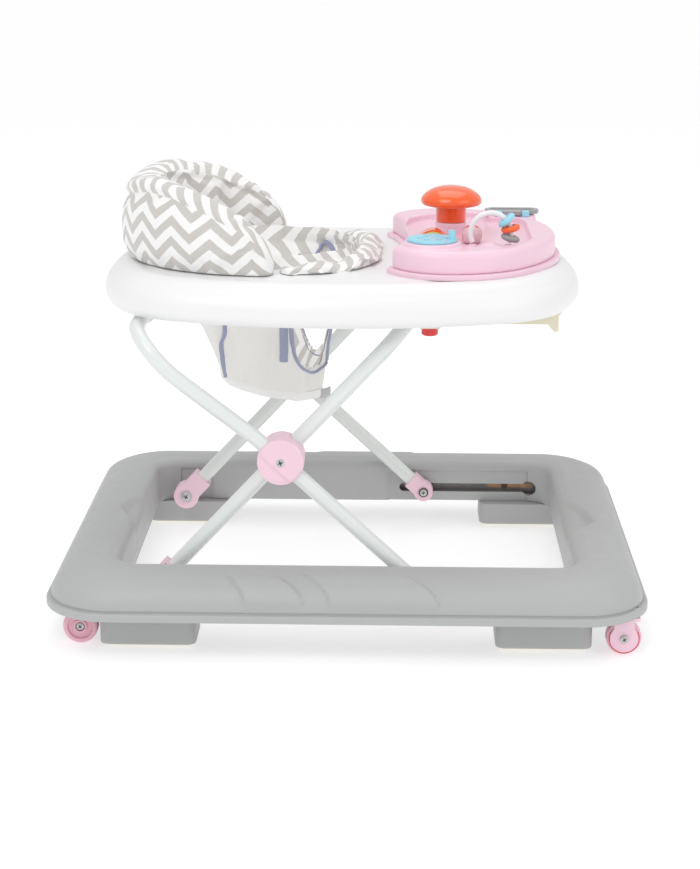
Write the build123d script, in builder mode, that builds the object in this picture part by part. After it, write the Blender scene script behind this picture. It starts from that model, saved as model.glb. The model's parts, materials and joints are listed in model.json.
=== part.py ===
from build123d import *
from math import atan2, cos, degrees, hypot, radians, sin
import os

os.makedirs("parts", exist_ok=True)

# Baby walker. Millimetres, +X forward, +Y to the child's left, +Z up.
# The origin is on the floor, under the middle of the base.

# ---- driving dimensions ----
SIDES = (("left", 1), ("right", -1))
ENDS = (("front", 1), ("rear", -1))
FIT = 0.05  # radial clearance of a running fit
GAP = 0.4  # clearance between neighbouring bodies

BASE_LENGTH, BASE_WIDTH = 706.0, 600.0
BASE_CORNER_R = 96.0
FLANGE_Z = 46.0  # underside of the outer flange
CROWN_Z = 93.0
RAIL_WIDTH = 84.0
WALL = 3.0
INNER_WALL_Z = 34.0  # lower edge of the inner wall
INNER_Y = BASE_WIDTH / 2 - RAIL_WIDTH

SLOT_Z, SLOT_HEIGHT = 52.6, 12.0
SLOT_X0, SLOT_X1 = 63.0, 252.0
KEYHOLE_R = 10.0  # round end of the slot, where the shoe is put in
PIVOT_PIN_R = 5.0

STOPPER_X, STOPPER_LENGTH = 230.0, 112.0
STOPPER_Y0, STOPPER_Y1 = 203.0, 264.0
STOPPER_Z, STOPPER_TOP = 3.0, 42.0
SOLE = 2.0
SCREW_POST_Y, SCREW_POST_SPACING, SCREW_POST_R = 243.0, 60.0, 8.0

WHEEL_R = 20.5
REAR_WHEEL_X, REAR_WHEEL_Y = -311.0, 240.0
REAR_WHEEL_WIDTH = 16.0
AXLE_R = 3.0
STEM_X, STEM_Y = 334.0, 258.0
CASTER_TRAIL = 12.0
CASTER_WIDTH = 14.0
STEM_R = 4.0

TUBE_R, TUBE_WALL = 9.0, 1.2
OUTER_PLANE_Y = 205.0  # the rear-top frame's legs
INNER_PLANE_Y = 184.5  # the front-top frame's legs
FRAME_BEND_R = 75.0
REAR_BEND_R = 50.0
HUB = (-77.0, 213.0)  # X and Z of the scissor axis
BASE_PIVOT = (-229.0, 50.0)
SLIDER = (96.0, SLOT_Z)
FRONT_ARM = 240.6  # scissor axis to the front crossbar
REAR_KNEE = (-205.0, 316.0)  # gentle bend in the rear-top frame's legs
REAR_BAR = (-247.0, 361.0)
KNEE_R = 120.0
HUB_R = 27.0
BOLT_R = 4.0

TRAY_X = -11.0
TRAY_A, TRAY_B = 291.0, 225.0  # half length and half width at the widest line
TRAY_SIDE_R, TRAY_END_R, TRAY_CORNER_R = 560.0, 300.0, 130.0
TRAY_BOTTOM, TRAY_TOP = 373.0, 420.0
SEAT_X, SEAT_A, SEAT_B = -97.0, 127.0, 118.0  # seat opening

TOY_RIM_TOP, TOY_TOP = 426.0, 452.0
TOY_FLOOR = 443.0
TOY_SKIN = 2.5  # wall of the toy tray
DIAL_BOSS_TOP, KNOB_POST_TOP = 457.0, 461.0


def save(part, name):
    part.label = name
    export_step(part, f"parts/{name}.step")


def at_y(x, z, y, sign):
    """Sketch plane at |Y| = y that faces outwards; its own y axis is +Z and its x axis is -sign * X."""
    return Plane(origin=(x, sign * y, z), x_dir=(-sign, 0, 0), z_dir=(0, sign, 0))


def disc(x, z, y0, y1, radius, sign, bore=0.0):
    """Round disc or pin along Y, between |Y| = y0 and y1."""
    with BuildPart() as piece:
        with BuildSketch(at_y(x, z, y0, sign)):
            Circle(radius)
            if bore:
                Circle(bore, mode=Mode.SUBTRACT)
        extrude(amount=y1 - y0)
    return piece.part


def box_between(low, high):
    """Box from its lowest corner to its highest corner."""
    size = [b - a for a, b in zip(low, high)]
    centre = [(a + b) / 2 for a, b in zip(low, high)]
    return Pos(*centre) * Box(*size, mode=Mode.PRIVATE)


# ---- base shell: one wall profile carried round a rounded rectangle ----
with BuildPart() as base_shell:
    with BuildLine() as base_path:
        with BuildSketch(Plane.XY, mode=Mode.PRIVATE) as base_outline:
            RectangleRounded(BASE_LENGTH, BASE_WIDTH, BASE_CORNER_R)
        add(base_outline.sketch.faces()[0].outer_wire())
    edge_x = BASE_LENGTH / 2
    with BuildSketch(Plane.XZ):
        with BuildLine():
            flange = Polyline((edge_x - WALL, FLANGE_Z), (edge_x, FLANGE_Z), (edge_x, 53))
            lip = TangentArc(flange @ 1, (edge_x - 5, 58.5), tangent=(0, 1))
            rise = ThreePointArc(lip @ 1, (edge_x - 25, 80), (edge_x - 60, 92))
            crown = ThreePointArc(rise @ 1, (edge_x - 67, CROWN_Z), (edge_x - 73, 92))
            shoulder = ThreePointArc(crown @ 1, (edge_x - 81.5, 88), (edge_x - RAIL_WIDTH, 80))
            down = Line(shoulder @ 1, (edge_x - RAIL_WIDTH, INNER_WALL_Z))
            foot = Line(down @ 1, (edge_x - RAIL_WIDTH + WALL, INNER_WALL_Z))
            up = Line(foot @ 1, (edge_x - RAIL_WIDTH + WALL, 79))
            under = ThreePointArc(up @ 1, (edge_x - 79, 85.5), (edge_x - 72, 88.8))
            under_crown = ThreePointArc(under @ 1, (edge_x - 66, 89.5), (edge_x - 60, 88.8))
            under_rise = ThreePointArc(under_crown @ 1, (edge_x - 27, 77.5), (edge_x - 9, 56))
            Polyline(under_rise @ 1, (edge_x - WALL, 54), flange @ 0)
        make_face()
    sweep(path=base_path.line)
    # slot and end keyhole for the sliding shoes, in both long inner walls
    with BuildSketch(Plane.XZ.offset(-INNER_Y - WALL - 1)):
        with Locations(((SLOT_X0 + SLOT_X1) / 2, SLOT_Z)):
            SlotOverall(SLOT_X1 - SLOT_X0, SLOT_HEIGHT)
        with Locations((SLOT_X1 - KEYHOLE_R, SLOT_Z)):
            Circle(KEYHOLE_R)
    extrude(amount=2 * (INNER_Y + WALL + 1), mode=Mode.SUBTRACT)
    # pivot pin holes
    with BuildSketch(Plane.XZ.offset(-INNER_Y - WALL - 1)):
        with Locations(BASE_PIVOT):
            Circle(PIVOT_PIN_R + FIT)
    extrude(amount=2 * (INNER_Y + WALL + 1), mode=Mode.SUBTRACT)
    # screw posts for the stoppers
    with BuildSketch(Plane.XY.offset(STOPPER_TOP)):
        with GridLocations(2 * STOPPER_X, 2 * SCREW_POST_Y, 2, 2):
            with GridLocations(SCREW_POST_SPACING, 1, 2, 1):
                Circle(SCREW_POST_R)
    extrude(amount=CROWN_Z - WALL - STOPPER_TOP)
    # corner ears that carry the caster sockets
    for _, front_sign in SIDES:
        with BuildSketch(Plane.XY.offset(FLANGE_Z)):
            with Locations((STEM_X, front_sign * STEM_Y)):
                Circle(10)
        extrude(amount=14, taper=12)
        with BuildSketch(Plane.XY.offset(FLANGE_Z)):
            with Locations((STEM_X, front_sign * STEM_Y)):
                Circle(6)
        extrude(amount=10, mode=Mode.SUBTRACT)
save(base_shell.part, "base_shell")

# steel bushes pressed into the corner ears
with BuildPart() as caster_sockets:
    with BuildSketch(Plane.XY.offset(FLANGE_Z)):
        with GridLocations(1, 2 * STEM_Y, 1, 2):
            with Locations((STEM_X, 0)):
                Circle(6)
                Circle(STEM_R + FIT, mode=Mode.SUBTRACT)
    extrude(amount=10)
save(caster_sockets.part, "caster_sockets")

# ---- stoppers: blocks under the four corners of the rails, with a soft sole ----
for end, x_sign in ENDS:
    for side, y_sign in SIDES:
        with BuildPart() as stopper:
            add(box_between((-STOPPER_LENGTH / 2, STOPPER_Y0, STOPPER_Z + SOLE),
                            (STOPPER_LENGTH / 2, STOPPER_Y1, STOPPER_TOP)))
            fillet(stopper.edges().filter_by(Axis.Z), 8)
            fillet(stopper.faces().sort_by(Axis.Z)[0].edges(), 3)
            # step that clears the rail's inner wall
            add(box_between((-STOPPER_LENGTH, 0, INNER_WALL_Z - GAP),
                            (STOPPER_LENGTH, INNER_Y + WALL + GAP, STOPPER_TOP + 1)), mode=Mode.SUBTRACT)
            # hollow underside, closed by the sole
            add(box_between((-STOPPER_LENGTH / 2 + 5, STOPPER_Y0 + 5, STOPPER_Z + SOLE + 6),
                            (STOPPER_LENGTH / 2 - 5, STOPPER_Y1 - 5, INNER_WALL_Z - 4)), mode=Mode.SUBTRACT)
        block = stopper.part if y_sign > 0 else mirror(stopper.part, about=Plane.XZ)
        save(Pos(x_sign * STOPPER_X, 0, 0) * block, f"stopper_{end}_{side}")

with BuildPart() as stopper_soles:
    with BuildSketch(Plane.XY.offset(STOPPER_Z)):
        with GridLocations(2 * STOPPER_X, STOPPER_Y0 + STOPPER_Y1, 2, 2):
            RectangleRounded(STOPPER_LENGTH - 12, STOPPER_Y1 - STOPPER_Y0 - 12, 5)
    extrude(amount=SOLE)
save(stopper_soles.part, "stopper_soles")

# ---- slide tracks: steel channels behind the slots ----
TRACK_Y = INNER_Y + WALL
for side, sign in SIDES:
    with BuildPart() as track:
        add(box_between((SLOT_X0 - 4, TRACK_Y, SLOT_Z - 10), (SLOT_X1 + 4, TRACK_Y + 14, SLOT_Z + 10)))
        add(box_between((SLOT_X0 - 1, TRACK_Y - 1, SLOT_Z - 8.5), (SLOT_X1 + 1, TRACK_Y + 12.5, SLOT_Z + 8.5)),
            mode=Mode.SUBTRACT)
    channel = track.part if sign > 0 else mirror(track.part, about=Plane.XZ)
    save(channel, f"slide_track_{side}")

# ---- rear wheels on fixed brackets ----
WHEEL_IN = REAR_WHEEL_Y - REAR_WHEEL_WIDTH / 2
WHEEL_OUT = REAR_WHEEL_Y + REAR_WHEEL_WIDTH / 2
for side, sign in SIDES:
    with BuildPart() as bracket:
        with BuildSketch(at_y(REAR_WHEEL_X, WHEEL_R, WHEEL_IN - 8, sign)):
            Circle(11)
            with Locations((0, 14)):
                Rectangle(20, 28)
            Circle(AXLE_R, mode=Mode.SUBTRACT)
        extrude(amount=7)
        # pad that is screwed up into the hollow rail
        with BuildSketch(Plane.XY.offset(2 * WHEEL_R + 2)):
            with Locations((REAR_WHEEL_X + 6, sign * (REAR_WHEEL_Y - 6))):
                RectangleRounded(34, 30, 4)
        extrude(amount=9)
    save(bracket.part, f"rear_wheel_bracket_{side}")

    with BuildPart() as wheel:
        with BuildSketch(at_y(REAR_WHEEL_X, WHEEL_R, WHEEL_IN, sign)):
            Circle(WHEEL_R)
            Circle(AXLE_R + FIT, mode=Mode.SUBTRACT)
        extrude(amount=REAR_WHEEL_WIDTH)
        rims = wheel.edges().filter_by(GeomType.CIRCLE).filter_by(lambda e: e.radius > WHEEL_R - 1)
        fillet(rims, 3)
        with BuildSketch(at_y(REAR_WHEEL_X, WHEEL_R, WHEEL_OUT, sign)):
            Circle(15)
            Circle(8, mode=Mode.SUBTRACT)
        extrude(amount=-3, mode=Mode.SUBTRACT)
        with BuildSketch(at_y(REAR_WHEEL_X, WHEEL_R, WHEEL_OUT, sign)):
            Circle(5.5)
        extrude(amount=-4, mode=Mode.SUBTRACT)
    save(wheel.part, f"rear_wheel_{side}")

with BuildPart() as rear_axles:
    for _, sign in SIDES:
        with BuildSketch(at_y(REAR_WHEEL_X, WHEEL_R, WHEEL_IN - 8, sign)):
            Circle(AXLE_R)
        extrude(amount=REAR_WHEEL_WIDTH + 4.5)
        with BuildSketch(at_y(REAR_WHEEL_X, WHEEL_R, WHEEL_OUT - 3.6, sign)):
            Circle(4.8)
        extrude(amount=2.4)
save(rear_axles.part, "rear_axles")

# ---- front casters ----
CASTER_X = STEM_X - CASTER_TRAIL
FORK_IN = CASTER_WIDTH / 2 + GAP
FORK_PLATE = 3.0
for side, sign in SIDES:
    with BuildPart() as fork:
        for cheek in (1, -1):
            with BuildSketch(at_y(CASTER_X, WHEEL_R, FORK_IN, cheek)):
                Circle(16.5)
                with Locations((0, 12)):
                    Rectangle(24, 24)
                Circle(AXLE_R, mode=Mode.SUBTRACT)
            extrude(amount=FORK_PLATE)
        add(box_between((CASTER_X - 12, -FORK_IN - FORK_PLATE, WHEEL_R + WHEEL_R + 0.6),
                        (STEM_X + 6, FORK_IN + FORK_PLATE, FLANGE_Z - GAP)))
        with BuildSketch(Plane.XY.offset(FLANGE_Z - GAP)):
            with Locations((STEM_X, 0)):
                Circle(STEM_R)
        extrude(amount=9)
    save(Pos(0, sign * STEM_Y, 0) * fork.part, f"caster_fork_{side}")

    with BuildPart() as caster_wheel:
        with BuildSketch(at_y(CASTER_X, WHEEL_R, -CASTER_WIDTH / 2, 1)):
            Circle(WHEEL_R)
            Circle(AXLE_R + FIT, mode=Mode.SUBTRACT)
        extrude(amount=CASTER_WIDTH)
        rims = caster_wheel.edges().filter_by(GeomType.CIRCLE).filter_by(lambda e: e.radius > WHEEL_R - 1)
        fillet(rims, 2.5)
        for face_sign in (1, -1):
            with BuildSketch(at_y(CASTER_X, WHEEL_R, CASTER_WIDTH / 2, face_sign)):
                Circle(16)
                Circle(7, mode=Mode.SUBTRACT)
            extrude(amount=-4, mode=Mode.SUBTRACT)
    save(Pos(0, sign * STEM_Y, 0) * caster_wheel.part, f"caster_wheel_{side}")

    with BuildPart() as caster_axle:
        add(disc(CASTER_X, WHEEL_R, -FORK_IN - FORK_PLATE, FORK_IN + FORK_PLATE, AXLE_R, sign))
        add(disc(CASTER_X, WHEEL_R, FORK_IN + FORK_PLATE, FORK_IN + FORK_PLATE + 2, 5, sign))
    save(Pos(0, sign * STEM_Y, 0) * caster_axle.part, f"caster_axle_{side}")

# ---- scissor frame geometry ----
pivot_to_hub = (HUB[0] - BASE_PIVOT[0], HUB[1] - BASE_PIVOT[1])
slider_to_hub = (HUB[0] - SLIDER[0], HUB[1] - SLIDER[1])
front_dir = (pivot_to_hub[0] / hypot(*pivot_to_hub), pivot_to_hub[1] / hypot(*pivot_to_hub))
rear_dir = (slider_to_hub[0] / hypot(*slider_to_hub), slider_to_hub[1] / hypot(*slider_to_hub))
FRONT_BAR = (HUB[0] + FRONT_ARM * front_dir[0], HUB[1] + FRONT_ARM * front_dir[1])
PAST_HUB = (HUB[0] + 40 * rear_dir[0], HUB[1] + 40 * rear_dir[1])


def u_frame(leg_points, radii, plane_y):
    """Bent tube: up through the leg's points, across at the last one, and down the other leg."""
    start = leg_points[0]
    up = [(x, plane_y, z) for x, z in leg_points]
    down = [(x, -plane_y, z) for x, z in reversed(leg_points)]
    with BuildPart() as tube:
        with BuildLine():
            FilletPolyline(*up, *down, radius=radii + radii[::-1])
        leg = (HUB[0] - start[0], 0, HUB[1] - start[1])
        with BuildSketch(Plane(origin=(start[0], plane_y, start[1]), z_dir=leg)):
            Circle(TUBE_R)
            Circle(TUBE_R - TUBE_WALL, mode=Mode.SUBTRACT)
        sweep()
        for _, sign in SIDES:
            with BuildSketch(at_y(HUB[0], HUB[1], plane_y - TUBE_R - 1, sign)):
                Circle(BOLT_R + FIT)
            extrude(amount=2 * TUBE_R + 2, mode=Mode.SUBTRACT)
    return tube.part


def tube_room(start, plane_y, sign):
    """The round space that a leg fills from its lower end to just past the scissor hub."""
    leg = (HUB[0] - start[0], 0, HUB[1] - start[1])
    with BuildPart() as room:
        with BuildSketch(Plane(origin=(start[0], sign * plane_y, start[1]), z_dir=leg)):
            Circle(TUBE_R)
        extrude(amount=hypot(leg[0], leg[2]) + HUB_R + 2)
    return room.part


END_CUT = 8.0  # the tubes stop short of the pins at their lower ends
front_start = (BASE_PIVOT[0] + END_CUT * front_dir[0], BASE_PIVOT[1] + END_CUT * front_dir[1])
rear_start = (SLIDER[0] + END_CUT * rear_dir[0], SLIDER[1] + END_CUT * rear_dir[1])
front_tube = u_frame([front_start, FRONT_BAR], [FRAME_BEND_R], INNER_PLANE_Y)
save(front_tube, "front_frame_tube")
rear_points = [rear_start, PAST_HUB, REAR_KNEE, REAR_BAR]
rear_tube = u_frame(rear_points, [KNEE_R, KNEE_R, REAR_BEND_R], OUTER_PLANE_Y)
save(rear_tube, "rear_frame_tube")

PLANE_SPLIT_Y = (OUTER_PLANE_Y + INNER_PLANE_Y) / 2
HUB_IN_Y, HUB_OUT_Y = INNER_PLANE_Y - TUBE_R - 1.2, OUTER_PLANE_Y + TUBE_R + 1.2
for side, sign in SIDES:
    with BuildPart() as inner_hub:
        add(disc(*HUB, HUB_IN_Y, PLANE_SPLIT_Y - GAP / 2, HUB_R, sign, BOLT_R))
        add(tube_room(front_start, INNER_PLANE_Y, sign), mode=Mode.SUBTRACT)
    save(inner_hub.part, f"inner_hub_{side}")

    with BuildPart() as outer_hub:
        add(disc(*HUB, PLANE_SPLIT_Y + GAP / 2, HUB_OUT_Y, HUB_R, sign, BOLT_R + FIT))
        add(tube_room(rear_start, OUTER_PLANE_Y, sign), mode=Mode.SUBTRACT)
    save(outer_hub.part, f"outer_hub_{side}")

    # moulded foot of the front-top frame, turning on a pin in the base
    with BuildPart() as pivot_bracket:
        with BuildSketch(at_y(*BASE_PIVOT, INNER_PLANE_Y - TUBE_R - 3, sign)):
            Circle(17)
            with Locations(Rot(0, 0, degrees(atan2(front_dir[1], -sign * front_dir[0])))):
                with Locations((17, 0)):
                    Rectangle(34, 26)
            Circle(PIVOT_PIN_R + FIT, mode=Mode.SUBTRACT)
        extrude(amount=2 * TUBE_R + 6)
        add(tube_room(front_start, INNER_PLANE_Y, sign), mode=Mode.SUBTRACT)
    save(pivot_bracket.part, f"pivot_bracket_{side}")

with BuildPart() as hub_bolts:
    for _, sign in SIDES:
        add(disc(*HUB, HUB_IN_Y - 2, HUB_OUT_Y, BOLT_R, sign))
        add(disc(*HUB, HUB_OUT_Y, HUB_OUT_Y + 0.9, 6.5, sign))
        add(disc(*HUB, HUB_IN_Y - 4, HUB_IN_Y, 7, sign))
save(hub_bolts.part, "hub_bolts")

with BuildPart() as base_pivot_pins:
    for _, sign in SIDES:
        add(disc(*BASE_PIVOT, INNER_PLANE_Y - TUBE_R - 4, INNER_Y + WALL, PIVOT_PIN_R, sign))
        add(disc(*BASE_PIVOT, INNER_PLANE_Y - TUBE_R - 5, INNER_PLANE_Y - TUBE_R - 3 - GAP, 7.5, sign))
        add(disc(*BASE_PIVOT, INNER_Y + WALL, INNER_Y + WALL + 4, 7.5, sign))
save(base_pivot_pins.part, "base_pivot_pins")

# ---- rear-top frame's sliding feet ----
SHOE_PIN_R = 4.5
BRACKET_IN, BRACKET_OUT = OUTER_PLANE_Y - TUBE_R - 2, OUTER_PLANE_Y + TUBE_R
for side, sign in SIDES:
    with BuildPart() as slide_bracket:
        with BuildSketch(at_y(*SLIDER, BRACKET_IN, sign)):
            Circle(13)
            with Locations(Rot(0, 0, degrees(atan2(rear_dir[1], -sign * rear_dir[0])))):
                with Locations((12, 0)):
                    Rectangle(24, 22)
            Circle(SHOE_PIN_R + FIT, mode=Mode.SUBTRACT)
        extrude(amount=BRACKET_OUT - BRACKET_IN)
        add(tube_room(rear_start, OUTER_PLANE_Y, sign), mode=Mode.SUBTRACT)
    save(slide_bracket.part, f"slide_bracket_{side}")

    # nylon shoe: pin through the bracket, flat runner inside the track
    with BuildPart() as shoe:
        add(disc(*SLIDER, BRACKET_IN - GAP, TRACK_Y + 2, SHOE_PIN_R, sign))
        add(disc(*SLIDER, BRACKET_IN - 2 - GAP, BRACKET_IN - GAP, 6.5, sign))
        with BuildSketch(at_y(*SLIDER, TRACK_Y + 1, sign)):
            SlotOverall(30, 14.5)
        extrude(amount=10)
    save(shoe.part, f"slide_shoe_{side}")

# ---- tray: an oval shell, wide at its rim and crowned at its edge ----
def oval(inset=0.0):
    """Eight-arc oval, symmetric in X and Y, drawn a distance inside the tray's widest outline."""
    side_y = TRAY_B - TRAY_SIDE_R
    end_x = TRAY_A - TRAY_END_R
    reach_side = TRAY_SIDE_R - TRAY_CORNER_R
    reach_end = TRAY_END_R - TRAY_CORNER_R
    span = hypot(end_x, side_y)
    along = (reach_side**2 - reach_end**2 + span**2) / (2 * span)
    across = (reach_side**2 - along**2) ** 0.5
    ux, uy = end_x / span, -side_y / span
    corner = (along * ux + across * uy, side_y + along * uy - across * ux)
    side_angle = degrees(atan2(corner[1] - side_y, corner[0]))
    end_angle = degrees(atan2(corner[1], corner[0] - end_x))
    with BuildSketch(mode=Mode.PRIVATE) as outline:
        with BuildLine():
            CenterArc((end_x, 0), TRAY_END_R - inset, 0, end_angle)
            CenterArc(corner, TRAY_CORNER_R - inset, end_angle, side_angle - end_angle)
            CenterArc((0, side_y), TRAY_SIDE_R - inset, side_angle, 180 - 2 * side_angle)
            CenterArc((-corner[0], corner[1]), TRAY_CORNER_R - inset, 180 - side_angle,
                      side_angle - end_angle)
            CenterArc((-end_x, 0), TRAY_END_R - inset, 180 - end_angle, end_angle)
            mirror(about=Plane.XZ)
        make_face()
    return outline.sketch


with BuildPart() as tray_shell:
    with BuildLine():
        add(oval().faces()[0].outer_wire().moved(Location((TRAY_X, 0, 0))))
    rim_x = TRAY_X + TRAY_A
    with BuildSketch(Plane.XZ):
        with BuildLine():
            hem = Line((rim_x - 4 - WALL, TRAY_BOTTOM), (rim_x - 4, TRAY_BOTTOM))
            flare = ThreePointArc(hem @ 1, (rim_x - 0.6, 379), (rim_x, 386))
            side_wall = TangentArc(flare @ 1, (rim_x - 11, 408), tangent=(0, 1))
            crown = ThreePointArc(side_wall @ 1, (rim_x - 21, 416.8), (rim_x - 34, TRAY_TOP))
            step = Line(crown @ 1, (rim_x - 34, TRAY_TOP - WALL))
            under = ThreePointArc(step @ 1, (rim_x - 22.6, 414), (rim_x - 14, 406))
            inner_wall = ThreePointArc(under @ 1, (rim_x - 5, 397), (rim_x - 3, 386))
            Line(inner_wall @ 1, hem @ 0)
        make_face()
    sweep()
    with BuildSketch(Plane.XY.offset(TRAY_TOP - WALL)):
        with Locations((TRAY_X, 0)):
            add(oval(33.5))
        with Locations((SEAT_X, 0)):
            Ellipse(SEAT_A, SEAT_B, mode=Mode.SUBTRACT)
    extrude(amount=WALL)
    # turned-down lip round the seat opening
    with BuildSketch(Plane.XY.offset(TRAY_TOP - 16)):
        with Locations((SEAT_X, 0)):
            Ellipse(SEAT_A + WALL, SEAT_B + WALL)
            Ellipse(SEAT_A, SEAT_B, mode=Mode.SUBTRACT)
    extrude(amount=16)
save(tray_shell.part, "tray_shell")

# clips under the tray that the rear crossbar turns in
CLIP_TOP = TRAY_TOP - WALL
with BuildPart() as frame_clips:
    with BuildSketch(Plane.XZ.offset(-64)):
        with Locations(REAR_BAR):
            Circle(TUBE_R + 4)
        with Locations((REAR_BAR[0], (REAR_BAR[1] + CLIP_TOP) / 2)):
            Rectangle(14, CLIP_TOP - REAR_BAR[1])
        with Locations(REAR_BAR):
            Circle(TUBE_R + FIT, mode=Mode.SUBTRACT)
    extrude(amount=20, both=True)
    mirror(about=Plane.XZ)
save(frame_clips.part, "frame_clips")

# ---- height rack under the tray's front, and the clamps that lock the crossbar in it ----
RACK_X0, RACK_X1 = 62.0, 257.0
RACK_Y = 82.0
RACK_PLATE = 4.0
RACK_FLOOR = 350.0
BAR_ROOM = TUBE_R + 2.5
BAR_FOLDED_X = 208.0  # where the crossbar stands under the tray when the walker is folded
with BuildPart() as height_rack:
    with BuildSketch(Plane.XZ.offset(RACK_Y - RACK_PLATE)):
        with BuildLine():
            Polyline((RACK_X0, CLIP_TOP), (RACK_X0, 360), (120, RACK_FLOOR), (238, RACK_FLOOR), (246, 341),
                     (251, 341), (251, 360), (RACK_X1, 368), (RACK_X1, 384), (232, CLIP_TOP), close=True)
        make_face()
        with Locations(((FRONT_BAR[0] + BAR_FOLDED_X) / 2, FRONT_BAR[1])):
            SlotOverall(BAR_FOLDED_X - FRONT_BAR[0] + 2 * BAR_ROOM, 2 * BAR_ROOM, mode=Mode.SUBTRACT)
    extrude(amount=RACK_PLATE)
    mirror(about=Plane.XZ)
    # floor web with cross ribs between the two side plates
    add(box_between((120, -RACK_Y + RACK_PLATE, RACK_FLOOR), (246, RACK_Y - RACK_PLATE, RACK_FLOOR + 3)))
    for rib_x in (140, 170, 200, 230):
        add(box_between((rib_x, -RACK_Y + RACK_PLATE, RACK_FLOOR + 3), (rib_x + 3, RACK_Y - RACK_PLATE, 370)))
    add(box_between((RACK_X1 - 4, -RACK_Y + RACK_PLATE, 368), (RACK_X1, RACK_Y - RACK_PLATE, 388)))
save(height_rack.part, "height_rack")

BUTTON_R = 10.0
BUTTON_BOTTOM, HOUSING_BOTTOM = 339.5, 349.5
BUTTON_TRAVEL = 5.0
CLAMP_Y0, CLAMP_Y1 = RACK_Y + 3, RACK_Y + 27
BUTTON_X = FRONT_BAR[0] + 9
HOUSING_TOP = FRONT_BAR[1] - TUBE_R - 1
for side, sign in SIDES:
    clamp_y = sign * (CLAMP_Y0 + CLAMP_Y1) / 2
    with BuildPart() as lock_clamp:
        with BuildSketch(at_y(*FRONT_BAR, CLAMP_Y0, sign)):
            Circle(TUBE_R + 4)
        extrude(amount=CLAMP_Y1 - CLAMP_Y0)
        # housing for the push button, below the crossbar
        with BuildSketch(Plane.XY.offset(HOUSING_BOTTOM)):
            with Locations((BUTTON_X, clamp_y)):
                RectangleRounded(26, CLAMP_Y1 - CLAMP_Y0, 4)
        extrude(amount=HOUSING_TOP - HOUSING_BOTTOM)
        with BuildSketch(Plane.XY.offset(HOUSING_BOTTOM)):
            with Locations((BUTTON_X, clamp_y)):
                Circle(BUTTON_R + GAP)
        extrude(amount=HOUSING_TOP - HOUSING_BOTTOM - 6, mode=Mode.SUBTRACT)
        add(disc(*FRONT_BAR, CLAMP_Y0 - 1, CLAMP_Y1 + 1, TUBE_R + FIT, sign), mode=Mode.SUBTRACT)
    save(lock_clamp.part, f"lock_clamp_{side}")

    with BuildPart() as lock_button:
        with BuildSketch(Plane.XY.offset(BUTTON_BOTTOM)):
            with Locations((BUTTON_X, clamp_y)):
                Circle(BUTTON_R)
        extrude(amount=HOUSING_TOP - 6 - BUTTON_TRAVEL - BUTTON_BOTTOM)
        fillet(lock_button.edges().sort_by(Axis.Z)[0], 3)
    save(lock_button.part, f"lock_button_{side}")

# ---- toy tray ----
def toy_outline(inset=0.0):
    """Crescent plan of the toy tray: bowed front, two lobes, shallow hollow towards the seat."""
    with BuildSketch(mode=Mode.PRIVATE) as plan:
        with BuildLine():
            bow = TangentArc((256, 0), (204, 135), tangent=(0, 1))
            flank = TangentArc(bow @ 1, (110, 173), tangent=bow % 1)
            lobe = TangentArc(flank @ 1, (44, 122), tangent=flank % 1)
            ThreePointArc(lobe @ 1, (60, 60), (64, 0))
            mirror(about=Plane.XZ)
        make_face()
        if inset:
            offset(amount=-inset, kind=Kind.INTERSECTION)
    return plan.sketch


MUSHROOM = (122.0, 0.0)
DIAL = (97.0, -118.0)
DIAL_R = 29.5
WAVE = (102.0, -50.0)
BALL = (146.0, -50.0)
BUTTON = (166.0, -96.0)
MIRROR_AT = (203.0, 105.0)
POST_R = 19.0

with BuildPart() as toy_tray_base:
    with BuildSketch(Plane.XY.offset(TRAY_TOP)):
        add(toy_outline())
    extrude(amount=TOY_RIM_TOP - TRAY_TOP)
    fillet(toy_tray_base.faces().sort_by(Axis.Z)[-1].outer_wire().edges(), 2)
    with BuildSketch(Plane.XY.offset(TRAY_TOP)):
        add(toy_outline(14))
    extrude(amount=TOY_RIM_TOP - TRAY_TOP - 2.5, mode=Mode.SUBTRACT)
save(toy_tray_base.part, "toy_tray_base")

ARCH_X, ARCH_Z, ARCH_R, ARCH_TUBE_R = 167.0, 461.0, 24.0, 3.1
ARCH_Y = -84.0
ARCH_DIP = 27.0  # how far the arc runs on below its centre line, in degrees
WAVE_ROOM = (50.0, 27.0)
BALL_R = 12.5

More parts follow.
